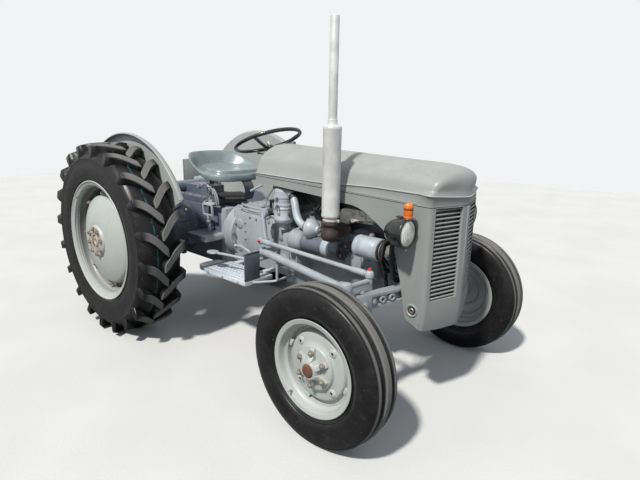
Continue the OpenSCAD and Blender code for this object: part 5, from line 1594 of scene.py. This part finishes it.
def steering_links(sizes):
    """Knuckles, drop arms and drag links"""
    for name, s in SIDES:
        link, knuckle = "drag_link_" + name, "knuckle_" + name
        # The link's front and rear balls, and the king pin
        x, e, pin = WHEELBASE + 22, 986, WHEELBASE + 17
        soften(knuckle, "axle_blue", 2.5)
        soften("drop_arm_" + name, "rod_grey", 3)
        front = turned_z([(0, 690.7), (17, 691), (20, 694), (21, 700), (21, 710), (18, 720), (12, 725), (10, 727),
                          (0, 727)], x, -360, 36)
        rear = lathe([(0, -314), (15, -313), (20, -310), (21, -302), (20, -290), (14, -286.5), (0, -286)],
                     (e, 0, 706), "y", 36)
        shank = rod((e + 6, -300.4, 706), (x - 8, -359.5, 706), 12)
        sleeves = rod((e + 22, -301.5, 706), (e + 96, -306.8, 706), 16) + rod(
            (x - 110, -352.2, 706), (x - 24, -358.3, 706), 16)
        piece("drag_link_bar_" + name, joined([front, rear, shank, sleeves]).on(s), "rod_grey", link, (link,), bevel=1)
        caps = turned_z([(0, 726), (8, 726), (9, 729), (8.5, 735), (5, 738), (0, 738.5)], x, -360, 24)
        caps = caps + lathe([(0, -313), (8, -313.5), (9, -317), (7, -322), (0, -324)], (e, 0, 706), "y", 24)
        piece("grease_caps_" + name, caps.on(s), "red", link, slot=link)
        top = turned_z([(0, 697), (24, 697), (26, 699), (24, 703), (12, 706), (0, 707)], pin, -525, 32)
        piece("kingpin_cap_" + name, top.on(s), "axle_blue", knuckle, slot=knuckle)
        bolts("knuckle_bolts_" + name, [((pin - 28, s * 525, 676), (-1, 0, 0)), ((pin, s * 553, 676), (0, s, 0))],
              "cast_nuts", 8, 7, knuckle)


def tank_and_dash(sizes):
    """Fuel tank, dash, radiator and fan"""
    tank = slab((1010, -176, 1030), (1600, 176, 1100), 6) + slab((1020, -160, 1098), (1590, 160, 1168), 52)
    piece("fuel_tank_shell", tank, "dark_cast", "chassis", ("fuel_tank",), bevel=12)
    soften("dash", "black_matt", 4)
    soften("radiator", "core", 3)
    soften("fan", "core", 2)
    fitted("hood_stay", rod((751, -170, 954), (857, -170, 1001), 7).both(), "tank_paint", "dash")
    panel = prism([(-150, 1016), (150, 1016), (150, 1120), (120, 1150), (-120, 1150), (-150, 1120)], 884, 890, "x")
    fitted("dash_panel", panel, "black_paint", "dash", bevel=2)
    for i, (y, z, r) in enumerate(((-92, 1092, 30), (0, 1104, 34), (92, 1092, 30))):
        bezel = turned_x([(r - 3, 876), (r, 875.5), (r + 3, 877), (r + 3, 884), (r - 3, 884), (r - 3, 876)], y, z, 36)
        fitted("gauge_bezel_%d" % i, bezel, "steel", "dash")
        face = turned_x([(0, 880), (r - 3, 880), (r - 3, 883.5), (0, 883.5)], y, z, 32)
        needle = prism([(y - 2, z - 4), (y + 2, z - 4), (y + r * 0.55, z + r * 0.5), (y + r * 0.5, z + r * 0.55)],
                       878.6, 879.4, "x")
        ticks = []
        for k in range(9):
            c, s = polar(1, math.radians(-40 + k * 32.5))
            ends = ((r - 12, 1), (r - 5, 1), (r - 5, -1), (r - 12, -1))
            ticks.append(prism([(y + q * c - w * s, z + q * s + w * c) for q, w in ends], 879.2, 879.9, "x"))
        fitted("gauge_face_%d" % i, face, "gauge_face", "dash")
        fitted("gauge_marks_%d" % i, joined([needle] + ticks), "black_matt", "dash")
    knobs = [turned_x([(0, 868), (8, 868.5), (9, 871), (8, 875), (4, 877), (4, 884), (0, 884)], y, 1044, 24)
             for y in (-60, -20, 20, 60)]
    fitted("dash_knobs", joined(knobs), "bakelite", "dash")


def fenders(sizes):
    """Fenders with braces and rivets"""
    cz, y = REAR_Z - 12, 534
    edge = [polar(665, math.radians(28.4 + 144.2 * k / 60), 0, cz) for k in range(61)]
    wall = prism(edge + [(200, cz + 88), (300, cz + 150), (544, cz + 302)], -y - 1.5, -y + 1.5, "y")
    # The walls take the lightened fender paint, painted light
    piece("fender_walls", wall.both(), "fender_lit_grey", "chassis", ("fenders",))
    carrier = block((-704, y - 10, 800), (-600, y, 840)) + block((-704, 304, 735), (-701, y - 4, 1010))
    rim = [(-704, 300, 731), (-704, y - 1, 731), (-704, y - 1, 1014), (-704, 300, 1014)]
    frame_bar = sweep(rim, oblong(3, 4), up=(1, 0, 0), closed=True)
    fitted("plate_carrier", carrier + frame_bar, "fender_lit_grey", "fenders", bevel=1)
    section = [(650, -1.4), (664, -0.6), (674, 4), (679, 12), (680, 22), (679.5, 29)]
    bead = [polar(5.5, math.radians(t), 674.5, 31) for t in range(110, -200, -31)]
    inner = [(676.5, 24), (675.5, 14), (671, 7), (663, 3), (650, 1.6)]
    loop = section + bead + inner
    rows = []
    for k in range(97):
        a = math.radians(28.4 + (172.4 - 28.4) * k / 96)
        rows.append([placed("y", *polar(r, a, 0, cz), -y - t) for r, t in loop])
    # The crowns carry a painted highlight in their lighter paint
    fitted("fender_crowns", loft(rows).both(), "crown_highlight_grey", "fenders", angle=50)
    ring = [polar(652, math.radians(a), 0, cz) for a in (24, 48, 72, 96, 120, 144, 166)]
    bolts("fender_rivets", [((x, s * (y - 2), z), (0, -s, 0)) for x, z in ring for s in (-1, 1)], "fender_lit_grey", 5, 2.5)
    brace = []
    for x0, z0, x1, z1 in ((-60, 700, -330, 1020), (60, 700, 330, 1020)):
        d = Vector((x1 - x0, 0, z1 - z0)).normalized()
        n = Vector((-d.z, 0, d.x)) * 16
        q = [(x0 + n.x, z0 + n.z), (x0 - n.x, z0 - n.z), (x1 - n.x * 0.7, z1 - n.z * 0.7),
             (x1 + n.x * 0.7, z1 + n.z * 0.7)]
        brace.append(prism(q, -y + 2, -y + 6, "y"))
    fitted("fender_braces", joined(brace).both(), "fender_lit_grey", "fenders", bevel=1.5)
    ends = ((-70, 715), (70, 715), (-300, 985), (300, 985))
    bolts("fender_brace_bolts", [((x, s * (y - 6), z), (0, -s, 0)) for x, z in ends for s in (-1, 1)], "cast_nuts", 8,
          6)


def linkage_parts(sizes):
    """Lift arms, rods, links and power take-off"""
    soften("lift_arms", "rod_grey", 3)
    for name, s in SIDES:
        soften("lower_link_" + name, "rod_grey", 2.5)
        soften("lift_rod_" + name, "rod_grey", 1.5)
        rod_body = "lift_rod_" + name
        a, b = Vector((-400, s * 256, 864)), Vector((-450, s * 288, 438))
        d = (b - a).normalized()
        sleeve = rod(a + d * 120, a + d * 290, 17, 24)
        piece("leveling_sleeve_" + name, sleeve, "rod_grey", rod_body, slot=rod_body, bevel=2)
        bolts("link_nuts_" + name, [((-450, s * 298, 430), (0, s, 0))], "nuts", 10, 9, rod_body)
    soften("pto_shaft", "steel", 1)
    splines = [block((-288, -4, 573), (-232, 4, 577)).turned(i * 60, "X", (0, 0, 560)) for i in range(6)]
    fitted("pto_splines", joined(splines), "steel", "pto_shaft", bevel=0.8)
    board = prism([(204, -30), (294, 120), (420, 96), (526, -40), (442, -122), (330, -96)], 858, 868, "z")
    fitted("cover_board", board, "board", "seat_spring", bevel=2)


# Stage

def studio(sizes):
    """Camera, floor and light"""
    # The camera was fitted to the photo: where it looks, its roll, focal length in pixels and place in metres
    yaw, pitch, roll, focal, width = 2.29929, -0.2505, 0.0179, 494.926, 640
    fw = Vector((math.cos(yaw) * math.cos(pitch), math.sin(yaw) * math.cos(pitch), math.sin(pitch)))
    r = fw.cross(Vector((0, 0, 1))).normalized()
    u = r.cross(fw)
    c, s = polar(1, roll)
    data = bpy.data.cameras.new("photo_camera")
    data.sensor_width, data.lens, data.clip_start = 36, 36 * focal / width, 0.05
    cam = linked("photo_camera", data)
    turn = Matrix((r * c + u * s, u * c - r * s, -fw)).transposed().to_4x4()
    cam.matrix_world = Matrix.Translation((3.06632 + REAR_X / 1000, -2.12445, 1.41914)) @ turn
    bpy.context.scene.camera = cam
    corners = [(x, y, 0) for x, y in oblong(9000, 9000)]
    floor = as_object("floor", Shape(corners, [(0, 1, 2, 3)]), False)
    f = Finish("pale_floor", rough=0.8)
    seen = f.node("ShaderNodeLightPath")
    f.set("Base Color", f.mix(seen, (0.17, 0.17, 0.17), f.shade((0.56, 0.56, 0.555), 0.03, 1.5)))
    floor.data.materials.append(f.bump(f.noise(60, 3), 0.0008))
    world = bpy.data.worlds.new("studio")
    bpy.context.scene.world = world
    world.use_nodes = True
    nodes, links = world.node_tree.nodes, world.node_tree.links
    nodes.clear()
    where, path = nodes.new("ShaderNodeTexCoord"), nodes.new("ShaderNodeLightPath")

    def together(operation, a, b, clamp=False):
        node = nodes.new("ShaderNodeMath")
        node.operation, node.use_clamp = operation, clamp
        links.new(a, node.inputs[0])
        links.new(b, node.inputs[1])
        return node.outputs[0]

    def rising(share, low, high):
        """Goes from low to high while the share goes from -0.2 to 1."""
        ramp = nodes.new("ShaderNodeMapRange")
        links.new(share, ramp.inputs[0])
        for i, value in enumerate((-0.2, 1.0, low, high), 1):
            ramp.inputs[i].default_value = value
        return ramp.outputs[0]
    # The light is stronger from above and from the front right
    split, front = nodes.new("ShaderNodeSeparateXYZ"), nodes.new("ShaderNodeVectorMath")
    front.operation, front.inputs[1].default_value = "DOT_PRODUCT", (0.84, -0.53, 0.1)
    for node in (split, front):
        links.new(where.outputs["Generated"], node.inputs[0])
    power = together("ADD", rising(split.outputs[2], 0.16, 0.40), rising(front.outputs["Value"], 0.0, 0.44))
    light, back = nodes.new("ShaderNodeBackground"), nodes.new("ShaderNodeBackground")
    light.inputs[0].default_value = (0.84, 0.92, 1.0, 1)
    links.new(power, light.inputs[1])
    back.inputs[0].default_value, back.inputs[1].default_value = (0.93, 0.94, 0.95, 1), 0.95
    # The camera, gloss and glass see the pale backdrop in its place
    shown = together("MAXIMUM", path.outputs["Is Camera Ray"], path.outputs["Is Transmission Ray"])
    shown = together("ADD", path.outputs["Is Glossy Ray"], shown, True)
    mix, out = nodes.new("ShaderNodeMixShader"), nodes.new("ShaderNodeOutputWorld")
    for i, source in enumerate((shown, light.outputs[0], back.outputs[0])):
        links.new(source, mix.inputs[i])
    links.new(mix.outputs[0], out.inputs[0])
    sun = bpy.data.lights.new("key", "SUN")
    sun.energy, sun.angle, sun.color = 4.5, math.radians(4), (1.0, 0.975, 0.93)
    key = linked("key", sun)
    key.rotation_euler = Vector((-0.13, 0.76, -1.0)).to_track_quat("-Z", "Y").to_euler()
    bpy.context.scene.view_settings.view_transform = "Standard"


# Add-on

class TractorSizes(bpy.types.PropertyGroup):
    """Sizes a user may change"""
    rear_lug_height: FloatProperty(name="Rear lug height", description="Height of the rear tyre lugs, in millimetres",
                                   default=31.5, min=20, max=38)
    rear_lug_count: IntProperty(name="Rear lugs", description="Count of the lugs on each side of a rear tyre",
                                default=20, min=14, max=26)
    slat_count: IntProperty(name="Grille slats", description="Count of the slats in each grille panel",
                            default=22, min=14, max=28)


class TractorColours(bpy.types.PropertyGroup):
    """Colours of the main finishes"""
    hood: FloatVectorProperty(name="Sheet metal", description="Colour of the hood, nose and fenders", subtype="COLOR",
                              size=3, default=(0.25, 0.266, 0.26))
    casting: FloatVectorProperty(name="Castings", description="Colour of the engine, axles and rods", subtype="COLOR",
                                 size=3, default=(0.27, 0.30, 0.33))
    wheel: FloatVectorProperty(name="Wheels", description="Colour of the rims and discs", subtype="COLOR", size=3,
                               default=(0.36, 0.38, 0.365))
    seat: FloatVectorProperty(name="Seat", description="Colour of the seat pan", subtype="COLOR", size=3,
                              default=(0.13, 0.165, 0.172))


def operator(build):
    """One operator that builds a group of pieces, named and described like its function."""
    name = build.__name__.removesuffix("_parts")

    def execute(self, context):
        build(context.scene.tractor_sizes)
        return {"FINISHED"}
    return type("TRACTOR_OT_" + name, (bpy.types.Operator,), {
        "__doc__": build.__doc__, "bl_idname": "tractor." + name,
        "bl_label": name.replace("_", " ").capitalize(), "execute": execute})


class TRACTOR_OT_finishes(bpy.types.Operator):
    """Makes the paints, rubbers and metals, and the node groups that repeat parts"""
    bl_idname = "tractor.finishes"
    bl_label = "Finishes and repeating parts"

    def execute(self, context):
        colours = context.scene.tractor_colours
        make_finishes({k: getattr(colours, k) for k in ("hood", "casting", "wheel", "seat")})
        TREES.update(ring=make_ring_tree(), row=make_row_tree(), bolts=make_bolt_tree())
        return {"FINISHED"}


BUILDERS = (
    rear_tyres, front_tyres, rear_wheels, front_wheels, bonnet_parts, exhaust, lamps,
    seat_parts, steering_parts, air_cleaner_parts, dynamo_parts, starter_parts, manifold_parts, engine_parts,
    gearbox_parts, rear_case_parts, quadrant, footrests, pedals, front_axle_parts, steering_links,
    tank_and_dash, fenders, linkage_parts, studio,
)
OPERATORS = (TRACTOR_OT_finishes,) + tuple(operator(build) for build in BUILDERS)


class TRACTOR_PT_panel(bpy.types.Panel):
    """Lists the builders of the tractor"""
    bl_idname = "TRACTOR_PT_panel"
    bl_label = "Vintage Tractor"
    bl_space_type = "VIEW_3D"
    bl_region_type = "UI"
    bl_category = "Tractor"

    def draw(self, context):
        layout = self.layout
        for key in ("rear_lug_height", "rear_lug_count", "slat_count"):
            layout.prop(context.scene.tractor_sizes, key)
        for key in ("hood", "casting", "wheel", "seat"):
            layout.prop(context.scene.tractor_colours, key)
        for kind in OPERATORS:
            layout.operator(kind.bl_idname, text=kind.bl_label)


CLASSES = (TractorSizes, TractorColours) + OPERATORS + (TRACTOR_PT_panel,)


def register():
    for kind in CLASSES:
        bpy.utils.register_class(kind)
    bpy.types.Scene.tractor_sizes = PointerProperty(type=TractorSizes)
    bpy.types.Scene.tractor_colours = PointerProperty(type=TractorColours)


def unregister():
    del bpy.types.Scene.tractor_sizes
    del bpy.types.Scene.tractor_colours
    for kind in reversed(CLASSES):
        bpy.utils.unregister_class(kind)


def main():
    register()
    for kind in OPERATORS:
        group, name = kind.bl_idname.split(".")
        getattr(getattr(bpy.ops, group), name)()


if __name__ == "__main__":
    main()
